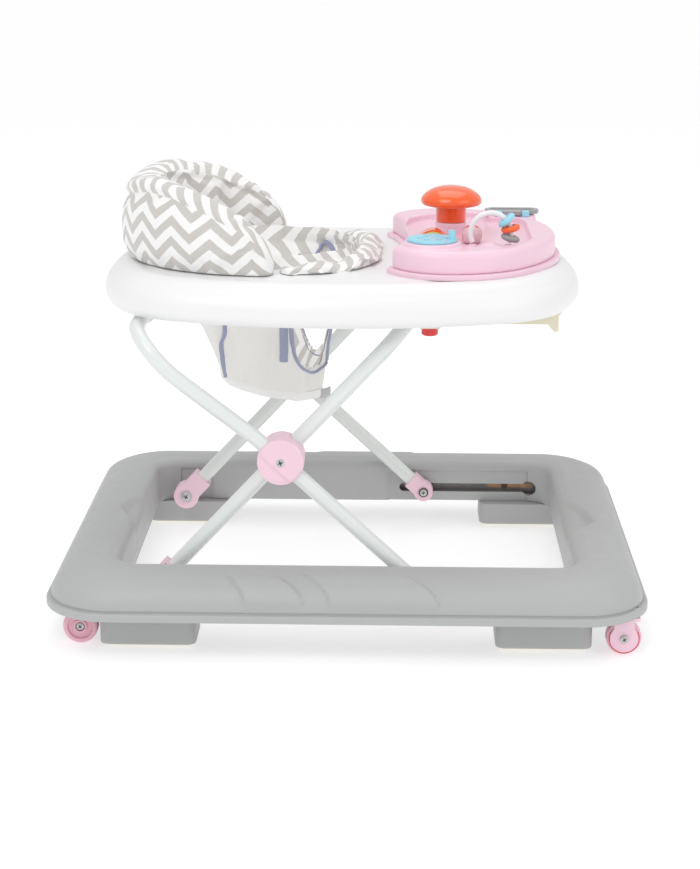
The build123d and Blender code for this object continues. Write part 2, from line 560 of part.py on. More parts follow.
with BuildPart() as toy_tray_cover:
    with BuildSketch(Plane.XY.offset(TOY_RIM_TOP)):
        add(toy_outline(6))
    extrude(amount=TOY_TOP - TOY_RIM_TOP)
    fillet(toy_tray_cover.faces().sort_by(Axis.Z)[-1].outer_wire().edges(), 9)
    # basin that the toys stand in
    with BuildSketch(Plane.XY.offset(TOY_TOP)):
        with Locations((142, 0)):
            SlotOverall(252, 150, rotation=90)
    extrude(amount=TOY_FLOOR - TOY_TOP, mode=Mode.SUBTRACT)
    # hollow underneath
    with BuildSketch(Plane.XY.offset(TOY_RIM_TOP)):
        add(toy_outline(10))
    extrude(amount=TOY_FLOOR - TOY_SKIN - TOY_RIM_TOP, mode=Mode.SUBTRACT)
    # dial boss, mushroom post, mirror pad, arch feet
    with BuildSketch(Plane.XY.offset(TOY_FLOOR - TOY_SKIN)):
        with Locations(DIAL):
            Circle(36)
    extrude(amount=DIAL_BOSS_TOP - TOY_FLOOR + TOY_SKIN, taper=8)
    with BuildSketch(Plane.XY.offset(TOY_FLOOR - TOY_SKIN)):
        with Locations(MUSHROOM):
            Circle(POST_R)
    extrude(amount=KNOB_POST_TOP - TOY_FLOOR + TOY_SKIN)
    with BuildSketch(Plane.XY.offset(TOY_FLOOR - TOY_SKIN)):
        with Locations(MIRROR_AT):
            RectangleRounded(60, 30, 8)
    extrude(amount=TOY_TOP - TOY_FLOOR + TOY_SKIN)
    foot_x = ARCH_R * cos(radians(ARCH_DIP))
    foot_z = ARCH_Z - ARCH_R * sin(radians(ARCH_DIP))
    with BuildSketch(Plane.XY.offset(TOY_FLOOR - TOY_SKIN)):
        with Locations((ARCH_X - foot_x, ARCH_Y), (ARCH_X + foot_x, ARCH_Y)):
            Circle(7)
    extrude(amount=foot_z - TOY_FLOOR, taper=15)
    # pockets: tubs are added first, then hollowed
    with BuildSketch(Plane.XY.offset(TOY_RIM_TOP + 1)):
        with Locations(WAVE):
            Rectangle(WAVE_ROOM[0] + 4, WAVE_ROOM[1] + 4)
        with Locations(BALL):
            Circle(BALL_R + 4)
        with Locations(BUTTON):
            Circle(18)
    extrude(amount=TOY_FLOOR - TOY_RIM_TOP - 1)
    with BuildSketch(Plane.XY.offset(TOY_RIM_TOP + 3)):
        with Locations(WAVE):
            Rectangle(*WAVE_ROOM)
        with Locations(BUTTON):
            Circle(15.5)
    extrude(amount=40, mode=Mode.SUBTRACT)
    with Locations((BALL[0], BALL[1], TOY_TOP)):
        Sphere(BALL_R + 1.5, mode=Mode.SUBTRACT)
save(toy_tray_cover.part, "toy_tray_cover")

# ---- toys ----
CAP_TOP, CAP_R = 505.0, 45.5
with BuildPart() as mushroom_knob:
    with BuildSketch(Plane.XZ):
        with BuildLine():
            shank = Polyline((0, KNOB_POST_TOP + GAP), (18.5, KNOB_POST_TOP + GAP), (18.5, 479))
            Line(shank @ 1, (24, 480))
            under_cap = ThreePointArc((24, 480), (33, 481.5), (37, 486))
            brim = ThreePointArc(under_cap @ 1, (35, 490.4), (30, CAP_TOP - CAP_R + (CAP_R**2 - 30**2) ** 0.5))
            RadiusArc(brim @ 1, (0, CAP_TOP), -CAP_R)
            Line((0, CAP_TOP), shank @ 0)
        make_face()
    revolve(axis=Axis.Z)
save(Pos(*MUSHROOM, 0) * mushroom_knob.part, "mushroom_knob")

with BuildPart() as dial_disc:
    with BuildSketch(Plane.XY.offset(DIAL_BOSS_TOP + GAP)):
        with Locations(DIAL):
            Circle(DIAL_R)
    extrude(amount=3)
    fillet(dial_disc.edges().group_by(Axis.Z)[-1], 1)
    with BuildSketch(Plane.XY.offset(DIAL_BOSS_TOP + GAP)):
        with Locations((DIAL[0] + 23, DIAL[1] - 4)):
            Circle(4.2)
    extrude(amount=13)
    with BuildSketch(Plane.XY.offset(DIAL_BOSS_TOP + GAP)):
        with Locations(DIAL):
            with PolarLocations(15, 6):
                Circle(3)
    extrude(amount=4)
save(dial_disc.part, "dial_disc")

# wave-shaped paddle that rocks on an axle along X
WAVE_Z = 453.0
with BuildPart() as wave_paddle:
    with BuildSketch(Plane.XZ.offset(-WAVE[1] - 9)):
        with BuildLine():
            x0 = WAVE[0] - 23
            rise = ThreePointArc((x0, WAVE_Z - 8), (x0 + 11, WAVE_Z + 5), (x0 + 25, WAVE_Z))
            fall = ThreePointArc(rise @ 1, (x0 + 36, WAVE_Z - 5), (x0 + 46, WAVE_Z - 5))
            Polyline(fall @ 1, (x0 + 46, WAVE_Z - 11), (x0, WAVE_Z - 11), rise @ 0)
        make_face()
    extrude(amount=18)
    add(Pos(WAVE[0], WAVE[1], WAVE_Z - 9) * Rot(0, 90, 0) * Cylinder(2, WAVE_ROOM[0] - 1, mode=Mode.PRIVATE))
save(wave_paddle.part, "wave_paddle")

with BuildPart() as rattle_ball:
    with Locations((BALL[0], BALL[1], TOY_TOP)):
        Sphere(BALL_R)
save(rattle_ball.part, "rattle_ball")

with BuildPart() as dome_button:
    with BuildSketch(Plane.XZ):
        with BuildLine():
            wall = Polyline((0, 438), (15, 438), (15, 447))
            RadiusArc(wall @ 1, (0, 452), -25)
            Line((0, 452), wall @ 0)
        make_face()
    revolve(axis=Axis.Z)
save(Pos(*BUTTON, 0) * dome_button.part, "dome_button")

with BuildPart() as button_spring:
    with BuildSketch(Plane.XY.offset(TOY_RIM_TOP + 3)):
        with Locations(BUTTON):
            Circle(6)
            Circle(5, mode=Mode.SUBTRACT)
    extrude(amount=438 - TOY_RIM_TOP - 3)
save(button_spring.part, "button_spring")

# flip-up mirror: light bar in two ears, and a frame round a mirror plate
MIRROR_Z = 455.8  # hinge line
HINGE_Y = MIRROR_AT[1] - 9
BAR_R = 1.8
with BuildPart() as mirror_hinge:
    for ear_x in (MIRROR_AT[0] - 22, MIRROR_AT[0] + 12):
        add(box_between((ear_x, HINGE_Y - 5, TOY_TOP), (ear_x + 9, HINGE_Y + 4, MIRROR_Z + 3)))
    add(Pos(MIRROR_AT[0] - 1, HINGE_Y, MIRROR_Z) * Rot(0, 90, 0) * Cylinder(BAR_R, 40, mode=Mode.PRIVATE))
save(mirror_hinge.part, "mirror_hinge")

with BuildPart() as mirror_frame:
    with BuildSketch(Plane.XY.offset(MIRROR_Z - 2.5)):
        with Locations((MIRROR_AT[0], MIRROR_AT[1] + 12)):
            SlotOverall(69, 26)
            SlotOverall(57, 14, mode=Mode.SUBTRACT)
    extrude(amount=5)
    add(box_between((MIRROR_AT[0] - 12, HINGE_Y - 2.5, MIRROR_Z - 2.5),
                    (MIRROR_AT[0] + 11, MIRROR_AT[1] + 4, MIRROR_Z + 2.5)))
    add(Pos(MIRROR_AT[0] - 1, HINGE_Y, MIRROR_Z) * Rot(0, 90, 0)
        * Cylinder(BAR_R + FIT, 60, mode=Mode.PRIVATE), mode=Mode.SUBTRACT)
save(mirror_frame.part, "mirror_frame")

with BuildPart() as mirror_plate:
    with BuildSketch(Plane.XY.offset(MIRROR_Z - 1)):
        with Locations((MIRROR_AT[0], MIRROR_AT[1] + 12)):
            SlotOverall(57, 14)
    extrude(amount=2)
save(mirror_plate.part, "mirror_plate")

# arch with three threaded rings, which travel round its centre line
with BuildPart() as bead_arch:
    with BuildLine(Plane(origin=(ARCH_X, ARCH_Y, ARCH_Z), x_dir=(1, 0, 0), z_dir=(0, -1, 0))) as bow:
        CenterArc((0, 0), ARCH_R, -ARCH_DIP, 180 + 2 * ARCH_DIP)
    with BuildSketch(Plane(origin=bow.line @ 0, z_dir=bow.line % 0)):
        Circle(ARCH_TUBE_R)
    sweep()
save(bead_arch.part, "bead_arch")

RING_R, RING_SECTION_R = 8.0, 3.5
for colour, turn in (("blue", 40), ("orange", 13), ("grey", -14)):
    with BuildPart() as bead_ring:
        Torus(RING_R, RING_SECTION_R)
    along_arch = Pos(ARCH_X, ARCH_Y, ARCH_Z) * Rot(0, -turn, 0) * Pos(ARCH_R, 0, 0)
    save(along_arch * bead_ring.part, f"bead_ring_{colour}")

# ---- padded seat ----
PAD_BASE = TRAY_TOP + 1.0
BACK_TOP = 531.0
PAD_OUT_A, PAD_OUT_B = 180.0, 163.0
WING_X = -86.0
with BuildPart() as backrest_pad:
    with BuildSketch(Plane.XY.offset(PAD_BASE)):
        with Locations((SEAT_X, 0)):
            Ellipse(PAD_OUT_A, PAD_OUT_B)
            Ellipse(SEAT_A + 5, SEAT_B, mode=Mode.SUBTRACT)
        with Locations((WING_X, 0)):
            Rectangle(400, 400, align=(Align.MIN, Align.CENTER), mode=Mode.SUBTRACT)
    extrude(amount=BACK_TOP - PAD_BASE)
    # the top falls from the back to the wing ends
    with BuildSketch(Plane.XZ.offset(-300)):
        with BuildLine():
            back = Polyline((-300, 495), (-268, 521), (-235, BACK_TOP), (-205, 527), (-120, 494))
            brow = ThreePointArc(back @ 1, (-94, 475), (WING_X + 1, 445))
            Polyline(brow @ 1, (WING_X + 1, 600), (-300, 600), back @ 0)
        make_face()
    extrude(amount=600, mode=Mode.SUBTRACT)
save(backrest_pad.part, "backrest_pad")

COLLAR_TOP = 446.0
with BuildPart() as seat_collar:
    with BuildSketch(Plane.XY.offset(PAD_BASE)):
        with Locations((SEAT_X, 0)):
            Ellipse(136, 152)
            Ellipse(104, 110, mode=Mode.SUBTRACT)
        with Locations((WING_X + 1, 0)):
            Rectangle(400, 400, align=(Align.MAX, Align.CENTER), mode=Mode.SUBTRACT)
    extrude(amount=COLLAR_TOP - PAD_BASE)
save(seat_collar.part, "seat_collar")

POUCH_RINGS = (
    # height, centre X, half length, half width
    (TRAY_TOP, SEAT_X, SEAT_A - 2, SEAT_B - 2),
    (351.0, -105.0, 85.0, 102.0),
    (285.0, -99.0, 63.0, 80.0),
    (252.0, -94.0, 50.0, 62.0),
)
CLOTH = 4.0


def pouch_body(inset, lift):
    """Lofted bag between the four rings, drawn in by inset, with its bottom raised by lift."""
    with BuildPart() as bag:
        for height, x, half_length, half_width in POUCH_RINGS:
            last = height == POUCH_RINGS[-1][0]
            with BuildSketch(Plane.XY.offset(height + (lift if last else 0))):
                with Locations((x, 0)):
                    Ellipse(half_length - inset, half_width - inset)
        loft()
    return bag.part


LEG_X0, LEG_X1 = -72.0, -22.0
LEG_Z0, LEG_Z1 = 298.0, 372.0
with BuildPart() as seat_pouch:
    add(pouch_body(0, 0))
    add(pouch_body(CLOTH, CLOTH), mode=Mode.SUBTRACT)
    for _, sign in SIDES:
        with BuildSketch(at_y(0, 0, 22, sign)):
            with Locations((-sign * (LEG_X0 + LEG_X1) / 2, (LEG_Z0 + LEG_Z1) / 2)):
                SlotOverall(LEG_Z1 - LEG_Z0, LEG_X1 - LEG_X0, rotation=90)
        extrude(amount=120, mode=Mode.SUBTRACT)
save(seat_pouch.part, "seat_pouch")
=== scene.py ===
import json
import math

import bmesh
import bpy
import numpy as np
from mathutils import Matrix, Vector


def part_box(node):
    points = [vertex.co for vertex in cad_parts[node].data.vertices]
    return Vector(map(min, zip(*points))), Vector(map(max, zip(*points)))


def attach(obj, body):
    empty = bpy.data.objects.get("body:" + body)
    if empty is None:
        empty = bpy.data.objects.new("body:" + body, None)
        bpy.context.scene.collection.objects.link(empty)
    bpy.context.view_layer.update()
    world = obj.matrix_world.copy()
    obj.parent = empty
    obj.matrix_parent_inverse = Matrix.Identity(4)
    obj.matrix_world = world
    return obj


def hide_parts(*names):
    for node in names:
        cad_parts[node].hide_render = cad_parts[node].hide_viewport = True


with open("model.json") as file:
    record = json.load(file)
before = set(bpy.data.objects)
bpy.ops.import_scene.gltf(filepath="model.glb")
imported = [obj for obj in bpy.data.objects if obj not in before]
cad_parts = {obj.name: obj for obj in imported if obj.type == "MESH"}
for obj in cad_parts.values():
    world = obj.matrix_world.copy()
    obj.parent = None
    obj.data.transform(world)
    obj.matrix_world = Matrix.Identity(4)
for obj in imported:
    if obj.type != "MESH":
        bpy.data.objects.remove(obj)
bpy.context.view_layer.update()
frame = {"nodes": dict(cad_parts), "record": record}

# Baby walker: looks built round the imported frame. Metres, +X forward, +Y to the child's left, +Z up.


# ---------------------------------------------------------------- camera, light, floor
def look_along(pitch, yaw, roll):
    """Camera rotation that looks along +Y, pitched down and yawed, in radians."""
    ahead = Vector((math.sin(yaw) * math.cos(pitch), math.cos(yaw) * math.cos(pitch), -math.sin(pitch)))
    turn = ahead.to_track_quat("-Z", "Y")
    return (turn @ Matrix.Rotation(roll, 3, "Z").to_quaternion()).to_euler()


def make_camera():
    data = bpy.data.cameras.new("camera")
    data.lens, data.sensor_width = 82.0, 36.0
    data.clip_end = 20.0
    camera = bpy.data.objects.new("camera", data)
    bpy.context.scene.collection.objects.link(camera)
    camera.location = (0.0513, -2.413, 0.8574)
    camera.rotation_euler = look_along(0.2705, -0.0217, 0.003)
    bpy.context.scene.camera = camera


def area_light(name, place, target, size, power):
    data = bpy.data.lights.new(name, "AREA")
    data.size, data.energy = size, power
    lamp = bpy.data.objects.new(name, data)
    bpy.context.scene.collection.objects.link(lamp)
    lamp.location = place
    lamp.rotation_euler = (Vector(target) - Vector(place)).to_track_quat("-Z", "Y").to_euler()


def make_stage():
    bpy.ops.mesh.primitive_plane_add(size=70, location=(0, 0, -0.0004))
    floor = bpy.context.object
    floor.name = "studio_floor"
    paint = new_material("studio_floor")
    shader = principled(paint)
    shader.inputs["Base Color"].default_value = (0.60, 0.60, 0.605, 1)
    shader.inputs["Emission Color"].default_value = (1, 1, 1, 1)
    shader.inputs["Emission Strength"].default_value = 0.53
    shader.inputs["Roughness"].default_value = 0.6
    floor.data.materials.append(paint)
    world = bpy.data.worlds.new("studio")
    bpy.context.scene.world = world
    world.use_nodes = True
    sky = world.node_tree.nodes["Background"]
    sky.inputs["Color"].default_value = (1, 1, 1, 1)
    sky.inputs["Strength"].default_value = 0.70
    bpy.context.scene.view_settings.view_transform = "Standard"
    area_light("key", (-0.9, -1.6, 2.4), (0, 0, 0.3), 1.6, 20)
    area_light("fill", (1.8, -1.2, 1.5), (0, 0, 0.3), 1.5, 7)
    area_light("top", (0.1, 0.6, 2.6), (0, 0, 0.3), 1.8, 13)


# ---------------------------------------------------------------- materials
def new_material(name):
    made = bpy.data.materials.new(name)
    made.use_nodes = True
    return made


def principled(material):
    return material.node_tree.nodes["Principled BSDF"]


class Nodes:
    """Short names for the shader nodes that the materials share."""

    def __init__(self, material):
        self.tree = material.node_tree
        self.shader = principled(material)
        self.place = self.tree.nodes.new("ShaderNodeTexCoord").outputs["Object"]

    def link(self, source, target):
        self.tree.links.new(source, target)

    def noise(self, scale, detail=3.0, place=None):
        node = self.tree.nodes.new("ShaderNodeTexNoise")
        node.inputs["Scale"].default_value = scale
        node.inputs["Detail"].default_value = detail
        self.link(place or self.place, node.inputs["Vector"])
        return node.outputs["Fac"]

    def ramp(self, value, low, high, out_low, out_high):
        node = self.tree.nodes.new("ShaderNodeMapRange")
        settings = {"From Min": low, "From Max": high, "To Min": out_low, "To Max": out_high}
        for name, number in settings.items():
            node.inputs[name].default_value = number
        self.link(value, node.inputs["Value"])
        return node.outputs["Result"]

    def math(self, operation, a, b=None):
        node = self.tree.nodes.new("ShaderNodeMath")
        node.operation = operation
        for socket, value in zip(node.inputs, (a, b)):
            if value is None:
                continue
            if isinstance(value, (int, float)):
                socket.default_value = value
            else:
                self.link(value, socket)
        return node.outputs[0]

    def mix(self, factor, a, b):
        node = self.tree.nodes.new("ShaderNodeMix")
        node.data_type = "RGBA"
        if isinstance(factor, (int, float)):
            node.inputs["Factor"].default_value = factor
        else:
            self.link(factor, node.inputs["Factor"])
        for name, value in (("A", a), ("B", b)):
            socket = [s for s in node.inputs if s.name == name and s.type == "RGBA"][0]
            if isinstance(value, tuple):
                socket.default_value = (*value, 1)
            else:
                self.link(value, socket)
        return [s for s in node.outputs if s.type == "RGBA"][0]

    def bump(self, height, strength, distance, normal=None):
        node = self.tree.nodes.new("ShaderNodeBump")
        node.inputs["Strength"].default_value = strength
        node.inputs["Distance"].default_value = distance
        self.link(height, node.inputs["Height"])
        if normal is not None:
            self.link(normal, node.inputs["Normal"])
        return node.outputs["Normal"]


def shade(colour, factor):
    return tuple(min(1.0, c * factor) for c in colour)


def moulded_plastic(name, colour, roughness=0.42, grain=0.00006, grain_scale=1400, wear=0.06, glow=0.0,
                    coat=0.0, seed=0.0):
    """Moulded plastic: fine spark-eroded grain, slow flow marks, rubbed lighter along its edges."""
    made = new_material(name)
    n = Nodes(made)
    flow = n.noise(9 + seed, 4)
    rubbed = n.ramp(n.tree.nodes.new("ShaderNodeNewGeometry").outputs["Pointiness"], 0.52, 0.62, 0.0, 1.0)
    base = n.mix(flow, shade(colour, 1 - wear * 0.55), shade(colour, 1 + wear * 0.4))
    worn = n.math("MULTIPLY", rubbed, min(0.35, 5 * wear))
    n.link(n.mix(worn, base, shade(colour, 1.12)), n.shader.inputs["Base Color"])
    fine = n.noise(grain_scale, 2)
    n.link(n.ramp(n.noise(60 + seed, 5), 0.3, 0.7, roughness - 0.05, roughness + 0.07),
           n.shader.inputs["Roughness"])
    n.link(n.bump(fine, 0.5, grain, n.bump(flow, 0.25, 0.0006)), n.shader.inputs["Normal"])
    n.shader.inputs["Subsurface Weight"].default_value = glow
    n.shader.inputs["Subsurface Radius"].default_value = (0.004, 0.0022, 0.0018)
    n.shader.inputs["Coat Weight"].default_value = coat
    n.shader.inputs["Coat Roughness"].default_value = 0.12
    return made


def powder_coat(name, colour):
    """Off-white powder coat on steel tube, with slight orange peel under a glossy skin."""
    made = new_material(name)
    n = Nodes(made)
    peel = n.noise(420, 3)
    n.link(n.mix(n.noise(6, 4), shade(colour, 0.965), shade(colour, 1.02)), n.shader.inputs["Base Color"])
    n.link(n.ramp(n.noise(35, 4), 0.3, 0.7, 0.26, 0.36), n.shader.inputs["Roughness"])
    n.link(n.bump(peel, 0.35, 0.00012), n.shader.inputs["Normal"])
    n.shader.inputs["Coat Weight"].default_value = 0.5
    n.shader.inputs["Coat Roughness"].default_value = 0.1
    return made


def plated_steel(name, colour, roughness=0.3):
    """Zinc-plated steel with fine drawing lines and dull patches."""
    made = new_material(name)
    n = Nodes(made)
    n.shader.inputs["Metallic"].default_value = 1.0
    n.link(n.mix(n.noise(40, 5), shade(colour, 0.82), shade(colour, 1.1)), n.shader.inputs["Base Color"])
    n.link(n.ramp(n.noise(160, 4), 0.3, 0.7, roughness, roughness + 0.2), n.shader.inputs["Roughness"])
    n.link(n.bump(n.noise(900, 2), 0.4, 0.00005), n.shader.inputs["Normal"])
    return made


def clear_tint(name, colour):
    """Tinted clear plastic, slightly frosted."""
    made = new_material(name)
    n = Nodes(made)
    n.link(n.mix(n.noise(70, 4), shade(colour, 0.93), colour), n.shader.inputs["Base Color"])
    n.shader.inputs["Transmission Weight"].default_value = 0.25
    n.shader.inputs["Roughness"].default_value = 0.16
    n.shader.inputs["IOR"].default_value = 1.46
    n.link(n.bump(n.noise(50, 3), 0.2, 0.0004), n.shader.inputs["Normal"])
    return made


def mirror_film(name):
    made = new_material(name)
    n = Nodes(made)
    n.shader.inputs["Metallic"].default_value = 1.0
    n.link(n.mix(n.noise(25, 4), (0.80, 0.81, 0.83), (0.9, 0.9, 0.92)), n.shader.inputs["Base Color"])
    n.link(n.ramp(n.noise(90, 5), 0.4, 0.8, 0.06, 0.16), n.shader.inputs["Roughness"])
    return made


CHEVRON_WAVE, CHEVRON_RISE, CHEVRON_PITCH = 0.049, 0.020, 0.0235
THREAD = 0.0011


def weave_normal(n, place, strength=0.5, thread=THREAD):
    """Plain weave: two crossed sine threads, with slubs from a noise."""
    parts = n.tree.nodes.new("ShaderNodeSeparateXYZ")
    n.link(place, parts.inputs[0])
    turn = 2 * math.pi / thread
    warp = n.math("SINE", n.math("MULTIPLY", parts.outputs[0], turn))
    weft = n.math("SINE", n.math("MULTIPLY", parts.outputs[1], turn))
    cloth = n.math("MULTIPLY", warp, weft)
    slub = n.noise(260, 3, place)
    height = n.math("ADD", n.math("MULTIPLY", cloth, 0.5), n.math("MULTIPLY", slub, 0.8))
    creases = n.noise(28, 5, n.place)
    return n.bump(height, strength, 0.00022, n.bump(creases, 0.5, 0.0016))


def cloth_shader(n, roughness=0.88, sheen=0.35):
    n.shader.inputs["Roughness"].default_value = roughness
    n.shader.inputs["Sheen Weight"].default_value = sheen
    n.shader.inputs["Sheen Roughness"].default_value = 0.45
    n.shader.inputs["Specular IOR Level"].default_value = 0.25


def chevron_cloth(name, glow=0.0, light=(0.88, 0.88, 0.875), dark=(0.58, 0.56, 0.535)):
    """Printed woven polyester: grey zigzag stripes on white, in the piece's own cloth coordinates. The glow
    strength makes the print emit, which is painted light.
    """
    made = new_material(name)
    n = Nodes(made)
    lay = n.tree.nodes.new("ShaderNodeUVMap")
    lay.uv_map = "cloth"
    parts = n.tree.nodes.new("ShaderNodeSeparateXYZ")
    n.link(lay.outputs["UV"], parts.inputs[0])
    along, up = parts.outputs[0], parts.outputs[1]
    phase = n.math("FRACT", n.math("DIVIDE", along, CHEVRON_WAVE))
    zigzag = n.math("MULTIPLY", n.math("ABSOLUTE", n.math("SUBTRACT", phase, 0.5)), 2 * CHEVRON_RISE)
    wobble = n.math("MULTIPLY", n.math("SUBTRACT", n.noise(55, 3, lay.outputs["UV"]), 0.5), 0.0022)
    level = n.math("ADD", n.math("ADD", up, zigzag), wobble)
    repeat = n.math("FRACT", n.math("DIVIDE", level, CHEVRON_PITCH))
    stripe = n.math("ABSOLUTE", n.math("SUBTRACT", repeat, 0.5))
    ink = n.ramp(stripe, 0.235, 0.26, 1.0, 0.0)
    faded = n.mix(n.noise(420, 3, lay.outputs["UV"]), shade(dark, 0.9), shade(dark, 1.12))
    ground = n.mix(n.noise(300, 3, lay.outputs["UV"]), shade(light, 0.96), shade(light, 1.03))
    print_colour = n.mix(ink, ground, faded)
    n.link(print_colour, n.shader.inputs["Base Color"])
    # the print colour is also emitted at the glow strength: painted light that brightens the cloth where it
    # lies in shade
    n.link(print_colour, n.shader.inputs["Emission Color"])
    n.shader.inputs["Emission Strength"].default_value = glow
    n.link(weave_normal(n, lay.outputs["UV"]), n.shader.inputs["Normal"])
    cloth_shader(n)
    return made


def plain_cloth(name, colour, thread=THREAD, strength=0.5, roughness=0.8, sheen=0.25):
    """Plain woven cloth in one dye, with slubs, creases and slight fading, and a faint emission of its own
    colour that is painted light.
    """
    made = new_material(name)
    n = Nodes(made)
    n.link(n.mix(n.noise(200, 4), shade(colour, 0.965), shade(colour, 1.025)), n.shader.inputs["Base Color"])
    n.link(weave_normal(n, n.place, strength, thread), n.shader.inputs["Normal"])
    cloth_shader(n, roughness, sheen)
    # faint emission of the cloth's own colour: painted light that brightens it where it lies in shade
    n.shader.inputs["Emission Color"].default_value = (*colour, 1)
    n.shader.inputs["Emission Strength"].default_value = 0.06
    return made


# colour, roughness, grain, grain scale, wear, subsurface weight, coat, seed
PLASTICS = {
    "base_grey": ((0.445, 0.452, 0.452), 0.46, 0.00008, 900),
    "sole_cream": ((0.66, 0.62, 0.50), 0.75, 0.0002, 700),
    "hub_pink": ((0.88, 0.62, 0.72), 0.44, 0.00006, 1400, 0.06, 0.05, 0.0, 3),
    # wheels: their own pink, set darker than the hub pink; the darkening is painted shade for the shadow the
    # wheels stand in
    "wheel_pink": ((0.86, 0.50, 0.59), 0.38, 0.00006, 1400, 0.06, 0.08, 0.0, 5),
    "nylon_brown": ((0.10, 0.07, 0.05), 0.4),
    "tray_white": ((0.845, 0.845, 0.85), 0.34, 0.000006, 700, 0.006),
    "cream": ((0.84, 0.79, 0.62), 0.45, 0.00006, 1400, 0.06, 0.12, 0.0, 7),
    "button_red": ((0.78, 0.035, 0.04), 0.32, 0.00006, 1400, 0.06, 0.0, 0.2),
    "toy_pink": ((0.88, 0.61, 0.72), 0.34, 0.00003, 800, 0.03, 0.06, 0.15),
    "orange": ((0.93, 0.135, 0.022), 0.3, 0.00001, 500, 0.03, 0.1, 0.15),
    "light_blue": ((0.32, 0.69, 0.83), 0.3, 0.00002, 600, 0.03),
    "toy_grey": ((0.33, 0.33, 0.34), 0.3, 0.00002, 600, 0.06, 0.0, 0.3),
    "orange_gloss": ((0.95, 0.115, 0.012), 0.16, 0.00001, 500, 0.02, 0.08, 0.7),
    "lime": ((0.55, 0.70, 0.12), 0.3, 0.00001, 500, 0.03),
    "white_gloss": ((0.88, 0.88, 0.88), 0.2, 0.00001, 500, 0.02, 0.0, 0.4),
    "ring_red": ((0.72, 0.10, 0.14), 0.35, 0.00001, 500, 0.03),
    # near-black used for the shade inside the screws' crossed recesses: painted shade
    "recess_painted_shade": ((0.05, 0.05, 0.055), 0.6, 0.00001, 500, 0.05),
}
MATERIALS = {name: moulded_plastic(name, *look) for name, look in PLASTICS.items()}
MATERIALS.update({
    "steel": plated_steel("steel", (0.60, 0.60, 0.60)),
    "frame_paint": powder_coat("frame_paint", (0.76, 0.79, 0.77)),
    "mirror": mirror_film("mirror"),
    "ball_clear": clear_tint("ball_clear", (0.98, 0.66, 0.73)),
    # chevron emission is painted light: faint on the backrest, stronger to lift the shaded inside of the
    # pouch lining
    "fabric_chevron": chevron_cloth("chevron_cloth", 0.02),
    "lining_chevron_painted_glow": chevron_cloth("lining_chevron_painted_glow", 0.16),
    "fabric_plain": plain_cloth("pouch_cloth", (0.84, 0.83, 0.80), 0.0007, 0.35, 0.7, 0.15),
    "binding_blue": plain_cloth("binding_blue", (0.33, 0.355, 0.49), 0.0009, 0.6, 0.75, 0.3),
    "bronze": plated_steel("bronze", (0.42, 0.26, 0.16), 0.35),
    "track_dark": plated_steel("track_dark", (0.34, 0.33, 0.32), 0.5),
    "tape_white": plain_cloth("tape_white", (0.90, 0.90, 0.89), 0.0008, 0.3, 0.5, 0.1),
    "tape_grey": plain_cloth("tape_grey", (0.52, 0.52, 0.53), 0.0022, 0.9, 0.7, 0.2),
})
SLOT_OF = {entry["node"]: entry["material_slot"] for entry in frame["record"]["subparts"]}


def dress_frame():
    """Gives every CAD node its material, and all but the frame tubes a small moulded radius on their sharp
    edges.
    """
    for name, node in frame["nodes"].items():
        slot = SLOT_OF[name]
        node.data.materials.clear()
        node.data.materials.append(MATERIALS["track_dark" if name.startswith("slide_track") else slot])
        if name.endswith("frame_tube"):
            continue
        weld = node.modifiers.new("weld", "WELD")
        weld.merge_threshold = 0.00002
        bevel = node.modifiers.new("edge", "BEVEL")
        bevel.width = 0.0006
        bevel.segments = 2
        bevel.limit_method = "ANGLE"
        bevel.angle_limit = math.radians(40)
        bevel.harden_normals = False


# ---------------------------------------------------------------- mesh helpers
def mesh_object(name, points, faces, materials=(), smooth=True):
    data = bpy.data.meshes.new(name)
    data.from_pydata([tuple(p) for p in points], [], faces)
    data.update()
    made = bpy.data.objects.new(name, data)
    bpy.context.scene.collection.objects.link(made)
    for material in materials:
        data.materials.append(material)
    if smooth:
        data.shade_smooth()
    return made


def grid_faces(rows, columns, wrap_rows=False):
    """Quads over a grid of points stored row by row, closed round its columns."""
    faces = []
    for r in range(rows if wrap_rows else rows - 1):
        for c in range(columns):
            a, b = r * columns + c, r * columns + (c + 1) % columns
            d, e = ((r + 1) % rows) * columns + c, ((r + 1) % rows) * columns + (c + 1) % columns
            faces.append((a, b, e, d))
    return faces


def arc_through(p0, p1, p2, count):
    """Points on the circle through three points, from p0 to p2, without the last."""
    (ax, ay), (bx, by), (cx, cy) = p0, p1, p2
    d = 2 * (ax * (by - cy) + bx * (cy - ay) + cx * (ay - by))
    sa, sb, sc = ax * ax + ay * ay, bx * bx + by * by, cx * cx + cy * cy
    ox = (sa * (by - cy) + sb * (cy - ay) + sc * (ay - by)) / d
    oy = (sa * (cx - bx) + sb * (ax - cx) + sc * (bx - ax)) / d
    radius = math.hypot(ax - ox, ay - oy)
    t0, t1, t2 = (math.atan2(y - oy, x - ox) for x, y in (p0, p1, p2))
    t1 = t0 + (t1 - t0 + math.pi) % (2 * math.pi) - math.pi
    t2 = t1 + (t2 - t1 + math.pi) % (2 * math.pi) - math.pi
    return [(ox + radius * math.cos(t), oy + radius * math.sin(t))
            for t in np.linspace(t0, t2, count, endpoint=False)]


def line_points(p0, p1, count):
    return [(p0[0] + (p1[0] - p0[0]) * k / count, p0[1] + (p1[1] - p0[1]) * k / count) for k in range(count)]


def smooth_step(x, low, high):
    t = np.clip((x - low) / (high - low), 0, 1)
    return t * t * (3 - 2 * t)


def cut_with(target, cutters):
    """Takes the cutters out of the target and deletes them."""
    for cutter in cutters:
        knife = target.modifiers.new("cut", "BOOLEAN")
        knife.object, knife.operation, knife.solver = cutter, "DIFFERENCE", "EXACT"
    apply_modifiers(target)
    for cutter in cutters:
        bpy.data.objects.remove(cutter)


